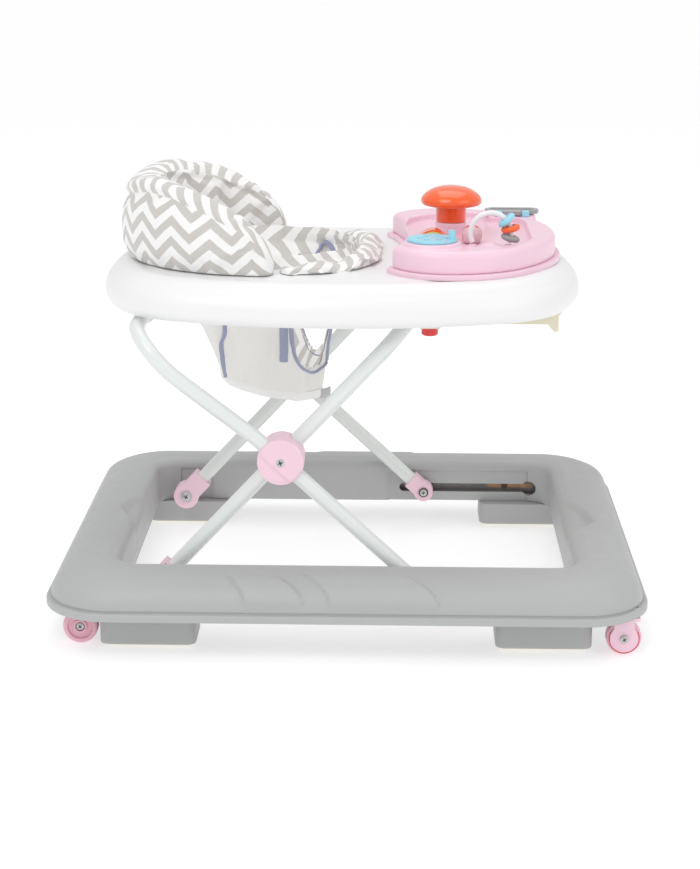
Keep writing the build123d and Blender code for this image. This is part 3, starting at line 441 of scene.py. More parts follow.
def apply_modifiers(target):
    """Bakes the modifiers into the mesh."""
    view = bpy.context.evaluated_depsgraph_get()
    view.update()
    baked = bpy.data.meshes.new_from_object(target.evaluated_get(view))
    target.modifiers.clear()
    target.data = baked


def sharpen(target, degrees=38):
    """Smooth shading that keeps creases sharper than an angle."""
    target.data.shade_smooth()
    target.data.set_sharp_from_angle(angle=math.radians(degrees))


def outward_normals(target):
    work = bmesh.new()
    work.from_mesh(target.data)
    bmesh.ops.recalc_face_normals(work, faces=work.faces)
    work.to_mesh(target.data)
    work.free()


def tidy_normals(target):
    outward_normals(target)
    target.data.shade_smooth()


def carried(piece, body, replaced=None):
    """Rides a piece on a body and hides the CAD node that it stands for, if there is one."""
    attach(piece, body)
    if replaced:
        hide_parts(replaced)


def prism(name, outline, low, high):
    """Closed prism: an outline of X and Z pairs, from low to high along Y."""
    n = len(outline)
    points = [(u, w, v) for w in (low, high) for u, v in outline]
    faces = [(k, (k + 1) % n, n + (k + 1) % n, n + k) for k in range(n)]
    faces += [tuple(range(n))[::-1], tuple(range(n, 2 * n))]
    made = mesh_object(name, points, faces, smooth=False)
    outward_normals(made)
    return made


def stadium(cx, cz, length, height, count=12):
    r, half = height / 2, length / 2 - height / 2
    half_turn = np.linspace(-math.pi / 2, math.pi / 2, count)
    right = [(cx + half + r * math.cos(t), cz + r * math.sin(t)) for t in half_turn]
    left = [(cx - half - r * math.cos(t), cz - r * math.sin(t)) for t in half_turn]
    return right + left


def tube_along(name, points, radius, material, flat=1.0, sides=10):
    """Round or flattened cord laid along points."""
    pts = [Vector(p) for p in points]
    n = len(pts)
    rings = []
    for k, p in enumerate(pts):
        ahead = pts[min(k + 1, n - 1)] - pts[max(k - 1, 0)]
        ahead.normalize()
        side = ahead.cross(Vector((0, 0, 1)))
        if side.length < 1e-3:
            side = ahead.cross(Vector((0, 1, 0)))
        side.normalize()
        up = side.cross(ahead)
        for t in np.linspace(0, 2 * math.pi, sides, endpoint=False):
            rings.append(p + side * radius * flat * math.cos(t) + up * radius * math.sin(t))
    faces = grid_faces(n, sides)
    faces += [tuple(range(sides))[::-1], tuple((n - 1) * sides + c for c in range(sides))]
    return mesh_object(name, rings, faces, [material])


# ---------------------------------------------------------------- base shell
BASE_X, BASE_Y, BASE_R = 0.353, 0.300, 0.080
OPEN_X, OPEN_Y, OPEN_R = 0.269, 0.216, 0.030
RAIL, CROWN = 0.084, 93.0
SIDES = (("left", 1), ("right", -1))
PATH_COUNTS = (30, 150, 180)  # steps in a corner, along a long side and along a short side


def rounded_path(half_x, half_y, radius):
    """Points and outward directions round a rounded rectangle, a set number of steps to each stretch."""
    corner_steps, long_steps, short_steps = PATH_COUNTS
    out = []
    for sx, sy, start in ((1, 1, 0), (-1, 1, 90), (-1, -1, 180), (1, -1, 270)):
        cx, cy = sx * (half_x - radius), sy * (half_y - radius)
        for k in range(corner_steps):
            t = math.radians(start + 90 * k / corner_steps)
            out.append((cx + radius * math.cos(t), cy + radius * math.sin(t), math.cos(t), math.sin(t)))
        t = math.radians(start + 90)
        along_x = start in (0, 180)
        run = 2 * (half_x - radius) if along_x else 2 * (half_y - radius)
        count = long_steps if along_x else short_steps
        ahead = (math.cos(t + math.pi / 2), math.sin(t + math.pi / 2))
        for k in range(count):
            d = run * k / count
            out.append((cx + radius * math.cos(t) + ahead[0] * d, cy + radius * math.sin(t) + ahead[1] * d,
                        math.cos(t), math.sin(t)))
    return np.array(out)


def base_section():
    """Inset and height round the rail's wall: flange, crown, inner wall, and back along the inside."""
    mm = [(3, 46)] + line_points((0.6, 46), (0, 46.6), 2) + line_points((0, 46.6), (0, 52.2), 3)
    mm += arc_through((0, 52.2), (0.9, 54.2), (3.0, 55), 5) + line_points((3.0, 55), (5.6, 55.1), 2)
    mm += arc_through((5.6, 55.1), (6.1, 56.2), (5.4, 57.6), 4)
    mm += arc_through((5.4, 57.6), (10.5, 72.5), (24, 83.8), 20)
    mm += arc_through((24, 83.8), (40, 90.2), (60, 92.4), 16)
    mm += arc_through((60, 92.4), (67, CROWN), (74, 91.2), 8)
    mm += arc_through((74, 91.2), (81.5, 87), (84, 79), 10)
    mm += line_points((84, 79), (84, 34.6), 24) + [(84, 34.6), (83.4, 34), (81.6, 34), (81, 34.6)]
    mm += line_points((81, 36), (81, 79), 8) + arc_through((81, 79), (78.4, 85), (72, 88.3), 6)
    mm += arc_through((72, 88.3), (64, 89.6), (56, 88.3), 5) + arc_through((56, 88.3), (28, 78), (10, 57), 12)
    mm += [(6.5, 52.5), (3, 51)]
    return np.array(mm) / 1000


# leaf-shaped pads on the long rails: X of each edge at the crease and at its upper end, and the pad's reach
LEAVES = (((-0.115, -0.148), (-0.047, -0.093), 0.70), ((-0.018, -0.064), (0.107, 0.046), 0.84))
LEAF_RISE, SCOOP_DEPTH, PANEL_DEPTH = 0.0042, 0.0100, 0.0028
FAR_LEAF = 0.35  # share of the rise on the rail at the child's left
SLOT_Z, SLOT_MID_X, SLOT_LENGTH, SLOT_HEIGHT = 0.0526, 0.1575, 0.189, 0.012
KEYHOLE_X, KEYHOLE_R = 0.242, 0.010
# X over which each recess of the inner wall begins and ends, round the slot and round the rear pivot
TRACK_RECESS, PIVOT_RECESS = ((0.046, 0.050), (0.264, 0.268)), ((-0.268, -0.262), (-0.200, -0.194))


def leaf_pads(x, y, inset):
    """Rise of the pads: they stand proud of the flange's crease and fade out towards the crown."""
    across = np.clip((inset - 0.007) / 0.056, 0, 1)
    rise = np.zeros_like(x)
    for start, stop, reach in LEAVES:
        q = np.clip(across / reach, 0, 1)
        sweep = q**1.25
        first = start[0] + (start[1] - start[0]) * sweep
        last = stop[0] + (stop[1] - stop[0]) * sweep
        body = smooth_step(x - first, -0.0012, 0.0022) * (1 - smooth_step(x - last, -0.0022, 0.0012))
        rise += body * (1 - smooth_step(across, 0.55 * reach, 1.0 * reach))
    return rise * np.where(y > 0, FAR_LEAF, 1.0) * LEAF_RISE * smooth_step(inset, 0.0056, 0.0090)


def hand_scoops(x, y, inset):
    """Depth of the scooped hand grips on the inner shoulders of the two end rails."""
    front = x > 0
    low_y, tip_y, far_y, tip_inset = (np.where(front, ahead, behind) for ahead, behind in
                                      zip((-0.094, -0.042, 0.065, 0.043), (-0.058, 0.0, 0.056, 0.057)))
    climb = np.clip((RAIL - inset) / (RAIL - tip_inset), 0, 1)
    lip = low_y + (tip_y - low_y) * climb**1.3
    outer = tip_inset + (RAIL - tip_inset) * np.clip((y - tip_y) / (far_y - tip_y), 0, 1) ** 1.4
    depth = smooth_step(y - lip, -0.0012, 0.0028) * (1 - smooth_step(y, tip_y, far_y))
    return depth * smooth_step(inset - outer, -0.001, 0.012) * SCOOP_DEPTH


def make_base():
    section = base_section()
    outer = rounded_path(BASE_X, BASE_Y, BASE_R)
    inner = rounded_path(OPEN_X, OPEN_Y, OPEN_R)
    tangent = np.roll(section, -1, 0) - np.roll(section, 1, 0)
    tangent /= np.linalg.norm(tangent, axis=1)[:, None]
    inset = np.repeat(section[:, 0][None, :], len(outer), 0)
    z = np.repeat(section[:, 1][None, :], len(outer), 0)
    share = inset / RAIL
    x = outer[:, 0][:, None] * (1 - share) + inner[:, 0][:, None] * share
    y = outer[:, 1][:, None] * (1 - share) + inner[:, 1][:, None] * share
    skin = np.zeros(len(section), bool)
    skin[:int(np.argmin(np.abs(section[:, 0] - 0.0816) + np.abs(section[:, 1] - 0.034)))] = True
    long_side = (np.abs(outer[:, 3]) > 0.999)[:, None] & (z > 0.0535) & (inset < 0.07) & skin[None, :]
    end_side = (np.abs(outer[:, 2]) > 0.999)[:, None]
    rise = leaf_pads(x, y, inset) * long_side
    drop = hand_scoops(x, y, inset) * end_side * smooth_step(z, 0.062, 0.082)
    wall = (np.abs(outer[:, 3]) > 0.999)[:, None] & (inset > 0.0805) & (z < 0.080)
    track, pivot = (smooth_step(x, *begin) * (1 - smooth_step(x, *end)) for begin, end in
                    (TRACK_RECESS, PIVOT_RECESS))
    recess = (track + pivot) * wall * smooth_step(0.0785 - z, 0.0, 0.0035) * PANEL_DEPTH
    shifted = inset - rise * tangent[:, 1][None, :] - recess
    share = shifted / RAIL
    x = outer[:, 0][:, None] * (1 - share) + inner[:, 0][:, None] * share
    y = outer[:, 1][:, None] * (1 - share) + inner[:, 1][:, None] * share
    z = z + rise * tangent[:, 0][None, :] - drop
    points = np.stack([x, y, z], -1).reshape(-1, 3)
    shell = mesh_object("base_ring", points, grid_faces(len(outer), len(section), wrap_rows=True),
                        [MATERIALS["base_grey"]])
    tidy_normals(shell)
    cutters = []
    for sign in (1, -1):
        low, high = sorted((sign * 0.2130, sign * 0.2235))
        cutters.append(prism("slot", stadium(SLOT_MID_X, SLOT_Z, SLOT_LENGTH, SLOT_HEIGHT), low, high))
        keyhole = [(KEYHOLE_X + KEYHOLE_R * math.cos(t), SLOT_Z + KEYHOLE_R * math.sin(t))
                   for t in np.linspace(0, 2 * math.pi, 28, endpoint=False)]
        cutters.append(prism("keyhole", keyhole, low, high))
    cut_with(shell, cutters)
    sharpen(shell, 40)
    carried(shell, "base", "base_shell")
    for side, sign in SIDES:
        # flat strip and its clip, laid on the track's back wall behind the sliding shoe
        low, high = sorted((sign * 0.2303, sign * 0.2311))
        strip = prism(f"track_strip_{side}", stadium(0.217, SLOT_Z, 0.062, 0.0064), low, high)
        clip = prism(f"track_clip_{side}", stadium(0.209, SLOT_Z, 0.0092, 0.0090),
                     *sorted((sign * 0.2301, sign * 0.2309)))
        for piece, look, slot in ((strip, "bronze", "steel"), (clip, "nylon_brown", "nylon_brown")):
            piece.data.materials.append(MATERIALS[look])
            carried(piece, "base")


def lathe(name, profile, at, material, sides=48):
    """Turned piece: radius and height pairs, revolved about the vertical through at."""
    points = [(at[0] + r * math.cos(t), at[1] + r * math.sin(t), at[2] + z)
              for r, z in profile for t in np.linspace(0, 2 * math.pi, sides, endpoint=False)]
    made = mesh_object(name, points, grid_faces(len(profile), sides), [material])
    sharpen(made, 50)
    return made


# ---------------------------------------------------------------- tray
TRAY_X, TRAY_A, TRAY_B = -0.011, 0.291, 0.225
TRAY_SIDE_R, TRAY_END_R, TRAY_CORNER_R = 0.560, 0.300, 0.130
SEAT_X, SEAT_A, SEAT_B = -0.097, 0.127, 0.118
TRAY_TOP = 0.420


def oval_path(count=360):
    """Points and outward directions round the tray's eight-arc oval."""
    side_y, end_x = TRAY_B - TRAY_SIDE_R, TRAY_A - TRAY_END_R
    reach_side, reach_end = TRAY_SIDE_R - TRAY_CORNER_R, TRAY_END_R - TRAY_CORNER_R
    span = math.hypot(end_x, side_y)
    along = (reach_side**2 - reach_end**2 + span**2) / (2 * span)
    across = math.sqrt(reach_side**2 - along**2)
    ux, uy = end_x / span, -side_y / span
    corner = (along * ux + across * uy, side_y + along * uy - across * ux)
    side_angle = math.atan2(corner[1] - side_y, corner[0])
    end_angle = math.atan2(corner[1], corner[0] - end_x)
    out = []
    for t in np.linspace(0, 2 * math.pi, count, endpoint=False):
        fx, fy = math.cos(t), math.sin(t)
        q = math.atan2(abs(fy), abs(fx))
        if q < end_angle:
            px, py = end_x + TRAY_END_R * math.cos(q), TRAY_END_R * math.sin(q)
        elif q < side_angle:
            px, py = corner[0] + TRAY_CORNER_R * math.cos(q), corner[1] + TRAY_CORNER_R * math.sin(q)
        else:
            px, py = TRAY_SIDE_R * math.cos(q), side_y + TRAY_SIDE_R * math.sin(q)
        out.append((TRAY_X + math.copysign(px, fx), math.copysign(py, fy), fx, fy))
    return np.array(out)


def make_tray():
    mm = line_points((7, 373.4), (4.6, 373), 2) + [(4.2, 373.3)]
    mm += arc_through((4, 373.8), (0.7, 379), (0, 386), 8)
    mm += arc_through((0, 386), (3.2, 398.5), (11, 408), 12)
    mm += arc_through((11, 408), (21, 416.8), (34, 420), 12)
    section = np.array(mm) / 1000
    path = oval_path()
    rows = []
    for inset, z in section:
        rows.append(np.stack([path[:, 0] - path[:, 2] * inset, path[:, 1] - path[:, 3] * inset,
                              np.full(len(path), z)], -1))
    outer = rows[-1]
    turn = np.arctan2(outer[:, 1], outer[:, 0] - SEAT_X)
    rim = np.stack([SEAT_X + SEAT_A * np.cos(turn), SEAT_B * np.sin(turn)], -1)
    span = np.linalg.norm(outer[:, :2] - rim, axis=1)
    for k in range(1, 15):
        f = k / 15
        flat = outer[:, :2] * (1 - f) + rim * f
        from_edge, from_seat = f * span, (1 - f) * span
        groove = -0.0011 * np.exp(-((from_edge - 0.010) / 0.0035) ** 2)
        bead = 0.0022 * np.exp(-((from_seat - 0.007) / 0.005) ** 2)
        rows.append(np.concatenate([flat, (TRAY_TOP + groove + bead)[:, None]], 1))
    rim_lip = ((0.0, 0.0012), (0.0015, 0.0002), (0.005, 0), (0.016, 0), (0.0165, -0.0015), (0.016, -0.003))
    for drop, pull in rim_lip:
        rows.append(np.stack([SEAT_X + (SEAT_A - pull) * np.cos(turn), (SEAT_B - pull) * np.sin(turn),
                              np.full(len(path), TRAY_TOP + 0.0012 - drop)], -1))
    under_rim = np.stack([SEAT_X + (SEAT_A + 0.003) * np.cos(turn), (SEAT_B + 0.003) * np.sin(turn)], -1)
    for f in (0.0, 0.5, 1.0):
        inner = outer[:, :2] * f + under_rim * (1 - f)
        rows.append(np.concatenate([inner, np.full((len(path), 1), TRAY_TOP - 0.003)], 1))
    back = arc_through((34, 417), (22.6, 414), (14, 406), 8) + arc_through((14, 406), (5, 397), (3, 386), 8)
    back += line_points((3, 386), (7, 373.4), 3)
    for inset, z in np.array(back[1:]) / 1000:
        rows.append(np.stack([path[:, 0] - path[:, 2] * inset, path[:, 1] - path[:, 3] * inset,
                              np.full(len(path), z)], -1))
    points = np.concatenate(rows)
    faces = grid_faces(len(rows), len(path), wrap_rows=True)
    tray = mesh_object("tray_top", points, faces, [MATERIALS["tray_white"]])
    tidy_normals(tray)
    sharpen(tray, 45)
    carried(tray, "tray", "tray_shell")


def softened(name, node, voxel, rounds, material, body):
    """Copy of a CAD node, remeshed and relaxed so that its edges read as moulded radii."""
    source = frame["nodes"][node]
    made = bpy.data.objects.new(name, source.data.copy())
    bpy.context.scene.collection.objects.link(made)
    weld = made.modifiers.new("weld", "WELD")
    weld.merge_threshold = 0.00002
    block = made.modifiers.new("remesh", "REMESH")
    block.mode, block.voxel_size = "VOXEL", voxel
    relax = made.modifiers.new("relax", "SMOOTH")
    relax.factor, relax.iterations = 0.5, rounds
    apply_modifiers(made)
    made.data.materials.clear()
    made.data.materials.append(material)
    made.data.shade_smooth()
    carried(made, body, node)


# ---------------------------------------------------------------- soft goods
def set_cloth_uv(target, region_of_face, coords):
    """Writes cloth coordinates in metres, face by face, from the region's own coordinates."""
    layer = target.data.uv_layers.new(name="cloth")
    for face in target.data.polygons:
        lay = coords[region_of_face[face.index]]
        for loop in face.loop_indices:
            layer.data[loop].uv = lay[target.data.loops[loop].vertex_index]


def puff(target, held, cap, pressure=4.0, spare=0.05, frames=20, bending=0.12):
    """Inflates a pad as cloth between its held seams, no point moving further than the cap."""
    start = np.array([v.co[:] for v in target.data.vertices])
    group = target.vertex_groups.new(name="seams")
    group.add([int(k) for k in held], 1.0, "REPLACE")
    cloth = target.modifiers.new("cloth", "CLOTH")
    setup = cloth.settings
    setup.quality, setup.mass = 6, 0.2
    setup.tension_stiffness = setup.compression_stiffness = 9
    setup.shear_stiffness, setup.bending_stiffness = 3, bending
    setup.use_pressure, setup.uniform_pressure_force = True, pressure
    setup.vertex_group_mass = "seams"
    setup.shrink_min = -spare
    setup.effector_weights.gravity = 0
    cloth.point_cache.frame_end = frames
    for number in range(1, frames + 1):
        bpy.context.scene.frame_set(number)
    view = bpy.context.evaluated_depsgraph_get()
    baked = target.evaluated_get(view).to_mesh()
    moved = np.array([v.co[:] for v in baked.vertices])
    target.evaluated_get(view).to_mesh_clear()
    target.modifiers.clear()
    target.vertex_groups.clear()
    bpy.context.scene.frame_set(1)
    step = moved - start
    far = np.linalg.norm(step, axis=1)
    step *= np.minimum(1, cap / np.maximum(far, 1e-9))[:, None]
    target.data.vertices.foreach_set("co", (start + step).ravel())
    target.data.update()
    smooth = target.modifiers.new("subdivide", "SUBSURF")
    smooth.levels = smooth.render_levels = 1
    apply_modifiers(target)
    target.data.shade_smooth()


# X and height along the backrest's outline; the crown puffs up to it from a start this far below
SEAT_BACK_TOP = np.array([(-300, 495), (-268, 521), (-235, 531), (-205, 527), (-168, 513), (-125, 493),
                          (-108, 481), (-97, 467), (-89, 450), (-85, 438)]) / 1000
BACK_START = 0.0065
PAD_BASE = 0.421


def c_pad(name, outer, inner, start, stop, height_at, columns, counts, bulge, seam_drop, end_round,
          corner=1.0):
    """Padded C lying round the seat: outer wall, top gusset, inner wall and base, closed at both ends.

    A corner power below one squares the plan of the C.
    """
    def plan(radii, t):
        along = math.copysign(abs(math.cos(t)) ** corner, math.cos(t))
        across = math.copysign(abs(math.sin(t)) ** corner, math.sin(t))
        return np.array((SEAT_X + radii[0] * along, radii[1] * across))

    n_out, n_top, n_in, n_low = counts
    turns = np.radians(np.linspace(start, stop, columns))
    points = []
    lay = {"wall": [], "top": [], "inner": []}

    def put(p, z, travel, wall_z, inner_z):
        """Adds a point, with its cloth coordinates on the wall, the top and the inner face."""
        points.append((p[0], p[1], z))
        lay["wall"].append((arc, wall_z))
        lay["top"].append((travel, arc))
        lay["inner"].append((arc * 0.75, inner_z))

    reach = np.array([plan(outer, t) for t in turns])
    runs = np.concatenate([[0], np.cumsum(np.linalg.norm(np.diff(reach, axis=0), axis=1))])
    for k, t in enumerate(turns):
        arc = runs[k]
        gap = min(arc, runs[-1] - arc)
        cap = math.sqrt(max(0.0, 1 - (1 - min(gap / end_round, 1)) ** 2)) * 0.9 + 0.1
        out, inn = plan(outer, t), plan(inner, t)
        mid = (out + inn) / 2
        out, inn = mid + (out - mid) * cap * 0.9, mid + (inn - mid) * cap * 0.9
        width = np.linalg.norm(out - inn)
        face = (out - inn) / max(width, 1e-6)
        z_out, z_mid, z_in = (PAD_BASE + (height_at(p[0]) - PAD_BASE) * (0.55 + 0.45 * cap)
                              for p in (out, mid, inn))
        z_out, z_in = z_out - seam_drop[0], z_in - seam_drop[1]
        for f in np.linspace(0, 1, n_out, endpoint=False):
            z = PAD_BASE + (z_out - PAD_BASE) * f
            put(out + face * bulge[0] * math.sin(math.pi * f) ** 0.8 * cap, z, 0, z, z)
        for f in np.linspace(0, 1, n_top, endpoint=False):
            level = z_out + (z_in - z_out) * f
            crown = (z_mid - (z_out + z_in) / 2) * math.sin(math.pi * f) ** 0.75
            put(out + (inn - out) * (1 - math.cos(math.pi * f)) / 2,
                level + max(crown, 0.004 * math.sin(math.pi * f)), width * f * 1.15, z_out, z_in)
        for f in np.linspace(0, 1, n_in, endpoint=False):
            z = z_in + (PAD_BASE - z_in) * f
            put(inn - face * bulge[1] * math.sin(math.pi * f) ** 0.8 * cap, z, width * 1.15, z, z)
        for f in np.linspace(0, 1, n_low, endpoint=False):
            put(inn + (out - inn) * f, PAD_BASE, 0, PAD_BASE, PAD_BASE)
    ring = n_out + n_top + n_in + n_low
    faces = grid_faces(columns, ring)
    region = []
    for _ in range(columns - 1):
        region += ["wall"] * n_out + ["top"] * n_top + ["inner"] * (n_in + n_low)
    faces += [tuple(range(ring)), tuple((columns - 1) * ring + c for c in range(ring))[::-1]]
    region += ["wall", "wall"]
    made = mesh_object(name, points, faces, [MATERIALS["fabric_chevron"]])
    set_cloth_uv(made, region, lay)
    tidy_normals(made)
    rows = np.arange(columns)[:, None] * ring
    base_line = list(range(n_out + n_top + n_in, ring))
    held = set((rows + np.array([0, n_out, n_out + n_top] + base_line)[None, :]).ravel())
    return made, held


def back_top(x):
    return float(np.interp(x, SEAT_BACK_TOP[:, 0], SEAT_BACK_TOP[:, 1])) - BACK_START


def make_backrest():
    pad, held = c_pad("backrest_cushion", (0.1765, 0.161), (0.132, 0.118), 273.3, 86.7, back_top,
                      columns=118, counts=(19, 12, 18, 8), bulge=(0.004, 0.002), seam_drop=(0.015, 0.008),
                      end_round=0.020)
    puff(pad, held, 0.0062, spare=0.07)
    carried(pad, "tray", "backrest_pad")


def make_collar():
    def crest(x):
        return 0.4285 + 0.009 * float(smooth_step(x, -0.02, 0.035)) + 0.0016 * math.sin(x * 120)

    counts = (7, 9, 7, 8)
    pad, held = c_pad("seat_roll", (0.134, 0.150), (0.104, 0.110), -86.0, 86.0, crest,
                      columns=84, counts=counts, bulge=(0.003, 0.003), seam_drop=(0.006, 0.006),
                      end_round=0.012, corner=0.76)
    ring = sum(counts)
    held = {k for k in held if k % ring not in (counts[0], counts[0] + counts[1])}
    creases = (9, 22, 41, 60, 74)
    held |= {column * ring + r for column in creases for r in range(ring)}
    puff(pad, held, 0.0050, spare=0.07)
    carried(pad, "tray", "seat_collar")


# height, centre X and half sizes along X and Y of the pouch's rings
POUCH_RINGS = np.array([(252, -98.5, 57, 62), (257, -99, 62, 70), (285, -101, 67, 80), (318, -104, 76, 92),
                        (351, -108, 89, 102), (385, -104, 106, 108), (416, -97, 121.5, 113.5),
                        (422, -97, 112, 110), (426, -97, 104, 108.5), (440, -97, 102, 106)]) / 1000
LEG_X, LEG_HALF, LEG_LOW, LEG_SHOULDER = -0.045, 0.0265, 0.287, 0.350
POUCH_TILT = 0.185


def pouch_point(turn, z, inset=0.0):
    cx, a, b = (float(np.interp(z, POUCH_RINGS[:, 0], POUCH_RINGS[:, k])) for k in (1, 2, 3))
    fold = 0.0022 * math.sin(9 * turn + 14 * z) + 0.0013 * math.sin(17 * turn - 31 * z + 1.0)
    fold *= min(1.0, (z - 0.250) / 0.03)
    a, b = a - inset + fold, b - inset + fold
    if z > 0.416 and math.cos(turn) < 0.1:
        back = min(1.0, (0.1 - math.cos(turn)) / 0.15)
        a, b = a + (0.1215 - a) * back, b + (0.1135 - b) * back
    x = cx + a * math.copysign(abs(math.cos(turn)) ** 0.92, math.cos(turn))
    tilt = POUCH_TILT * (x + 0.0985) * min(1.0, max(0.0, (0.360 - z) / 0.10))
    return (x, b * math.copysign(abs(math.sin(turn)) ** 0.92, math.sin(turn)), z - tilt)


def in_leg_hole(x, z):
    fall = max(0, (LEG_SHOULDER - z) / (LEG_SHOULDER - LEG_LOW))
    reach = LEG_HALF * math.sqrt(max(0, 1 - fall ** 2))
    return z > LEG_LOW and z < 0.402 and abs(x - LEG_X) < reach


def pouch_layer(name, inset, material, floor_z, top_z):
    columns, levels = 200, 58
    heights = np.linspace(floor_z, top_z, levels)
    points, lay = [], []
    turns = np.linspace(0, 2 * math.pi, columns, endpoint=False)
    for z in heights:
        for t in turns:
            points.append(pouch_point(t, z, inset))
            lay.append((z, t * 0.095))
    faces = []
    region = []
    for face in grid_faces(levels, columns):
        centre = np.mean([points[k] for k in face], axis=0)
        if abs(centre[1]) > 0.035 and in_leg_hole(centre[0], centre[2]):
            continue
        faces.append(face)
        region.append("wall")
    base = len(points)
    rounds = 9
    for k in range(1, rounds + 1):
        for t in turns:
            x, y, z = pouch_point(t, floor_z, inset)
            f = 1 - k / (rounds + 0.35)
            middle = floor_z - 0.0035
            points.append((-0.0985 + (x + 0.0985) * f, y * f, middle + (z - middle) * f))
            lay.append((points[-1][0], points[-1][1]))
    chain = [0] + [base + k * columns for k in range(rounds)]
    for a, b in zip(chain, chain[1:]):
        for c in range(columns):
            d = (c + 1) % columns
            faces.append((a + c, b + c, b + d, a + d))
            region.append("wall")
    faces.append(tuple(chain[-1] + c for c in range(columns)))
    region.append("wall")
    made = mesh_object(name, points, faces, [material])
    set_cloth_uv(made, region, {"wall": lay})
    tidy_normals(made)
    return made


def turn_at(x, z, steps=400):
    """Turn at which the left half of the pouch's ring reaches X at a height."""
    turns = np.linspace(0.02, math.pi - 0.02, steps)
    return min(turns, key=lambda t: abs(pouch_point(t, z)[0] - x))


def leg_edge(sign):
    """Points of the U-shaped edge of one leg hole, on the pouch's own surface."""
    edge = []
    for k in range(61):
        f = k / 60 * 2 - 1
        if abs(f) > 0.62:
            x, z = LEG_X + math.copysign(LEG_HALF, f), LEG_SHOULDER + (abs(f) - 0.62) / 0.38 * 0.050
        else:
            q = f / 0.62 * math.pi / 2
            x, z = LEG_X + LEG_HALF * math.sin(q), LEG_SHOULDER - (LEG_SHOULDER - LEG_LOW) * math.cos(q)
        edge.append((x, z))
    return [pouch_point(turn_at(x, z, 500) * sign, z, -0.0006) for x, z in edge]


def inside_point(x, z):
    """Point on the far inner face of the lining at a given X and height."""
    return pouch_point(turn_at(x, z), z, 0.0042)


def make_pouch():
    outer = pouch_layer("pouch_vinyl", 0.0, MATERIALS["fabric_plain"], 0.2525, 0.416)
    lining = pouch_layer("pouch_lining", 0.0018, MATERIALS["lining_chevron_painted_glow"], 0.2545, 0.436)
    for piece, slot in ((outer, "fabric_plain"), (lining, "fabric_chevron")):
        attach(piece, "tray")
    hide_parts("seat_pouch")
    bindings = []
    for side, sign in SIDES:
        bindings.append(tube_along(f"leg_binding_{side}", leg_edge(sign), 0.0015, MATERIALS["binding_blue"],
                                   flat=1.9))
        for number, (x_top, x_low) in enumerate(((-0.142, -0.153), (-0.081, -0.0795))):
            seam = []
            for f in np.linspace(0, 1, 30):
                z = 0.412 - f * 0.150 if number == 0 else 0.412 - f * 0.108
                x = x_top + (x_low - x_top) * min(1, f * 1.6)
                seam.append(pouch_point(turn_at(x, z) * sign, z, -0.0015))
            bindings.append(tube_along(f"side_binding_{number}_{side}", seam, 0.0012,
                                       MATERIALS["binding_blue"], flat=2.4 if number == 0 else 4.2))
    tape = []
    for f in np.linspace(0, 1, 40):
        t = -math.pi + f * math.pi
        tape.append(pouch_point(t, 0.2600, -0.0009))
    bindings.append(tube_along("bottom_tape", tape, 0.0055, MATERIALS["tape_white"], flat=0.16, sides=12))
    web = [pouch_point(-0.30 + 0.30 * f, 0.2585, -0.001 - 0.010 * f) for f in np.linspace(0, 1, 10)]
    bindings.append(tube_along("ribbed_tape_end", web, 0.006, MATERIALS["tape_grey"], flat=0.16, sides=12))
    peak = ((-0.050, 0.390), (-0.044, 0.403), (-0.037, 0.414), (-0.031, 0.418), (-0.026, 0.414),
            (-0.020, 0.403), (-0.015, 0.391))
    bindings.append(tube_along("collar_binding", [inside_point(x, z) for x, z in peak], 0.0022,
                               MATERIALS["binding_blue"], flat=1.9))
    for piece in bindings:
        carried(piece, "tray")


# ---------------------------------------------------------------- hubs, screws and wheels
# X and Z of the scissor hub, the sliding shoe and the rear pivot
HUB_AT, SHOE_AT, PIVOT_AT = (-0.077, 0.213), (0.096, SLOT_Z), (-0.229, 0.050)
BODY_OF = {node: body for body, nodes in frame["record"]["behaviour"]["bodies"].items() for node in nodes}


def facing_y(name, rings, centre, y_front, toward, material, sides=72):
    """Turned piece about a line along Y: rings of radius and of height above y_front, outwards."""
    points = []
    for radius, rise in rings:
        for t in np.linspace(0, 2 * math.pi, sides, endpoint=False):
            lift = rise(radius, t) if callable(rise) else rise
            points.append((centre[0] + radius * math.cos(t), y_front + toward * lift,
                           centre[1] + radius * math.sin(t)))
    made = mesh_object(name, points, grid_faces(len(rings), sides), [material])
    tidy_normals(made)
    sharpen(made, 50)
    return made


def screw_head(name, centre, y_front, toward, radius, body, turn=0.4):
    """Pan head with a crossed recess, drawn as two near-black bars of painted shade laid on the dome."""
    dome = [(radius * f, 0.0016 * math.sqrt(max(0.0, 1 - (f * 0.97) ** 2)))
            for f in (1, 0.96, 0.88, 0.75, 0.55, 0.3, 0.02)]
    head = facing_y(name, [(radius, -0.0006)] + dome, centre, y_front, toward, MATERIALS["steel"], 32)
    carried(head, body)
    for number, spin in enumerate((turn, turn + math.pi / 2)):
        along, across = (math.cos(spin), math.sin(spin)), (-math.sin(spin), math.cos(spin))
        corners = [(centre[0] + radius * (0.52 * a * along[0] + 0.13 * b * across[0]),
                    centre[1] + radius * (0.52 * a * along[1] + 0.13 * b * across[1]))
                   for a, b in ((-1, -1), (1, -1), (1, 1), (-1, 1))]
        # each recess bar is a near-black box standing on the dome where the hollow's shade would be: painted
        # shade
        low, high = sorted((y_front + toward * 0.0009, y_front + toward * 0.00172))
        recess = prism(f"{name}_recess_{number}", corners, low, high)
        recess.data.materials.append(MATERIALS["recess_painted_shade"])
        carried(recess, body)


def centre_xz(low, high):
    return (low[0] + high[0]) / 2, (low[2] + high[2]) / 2


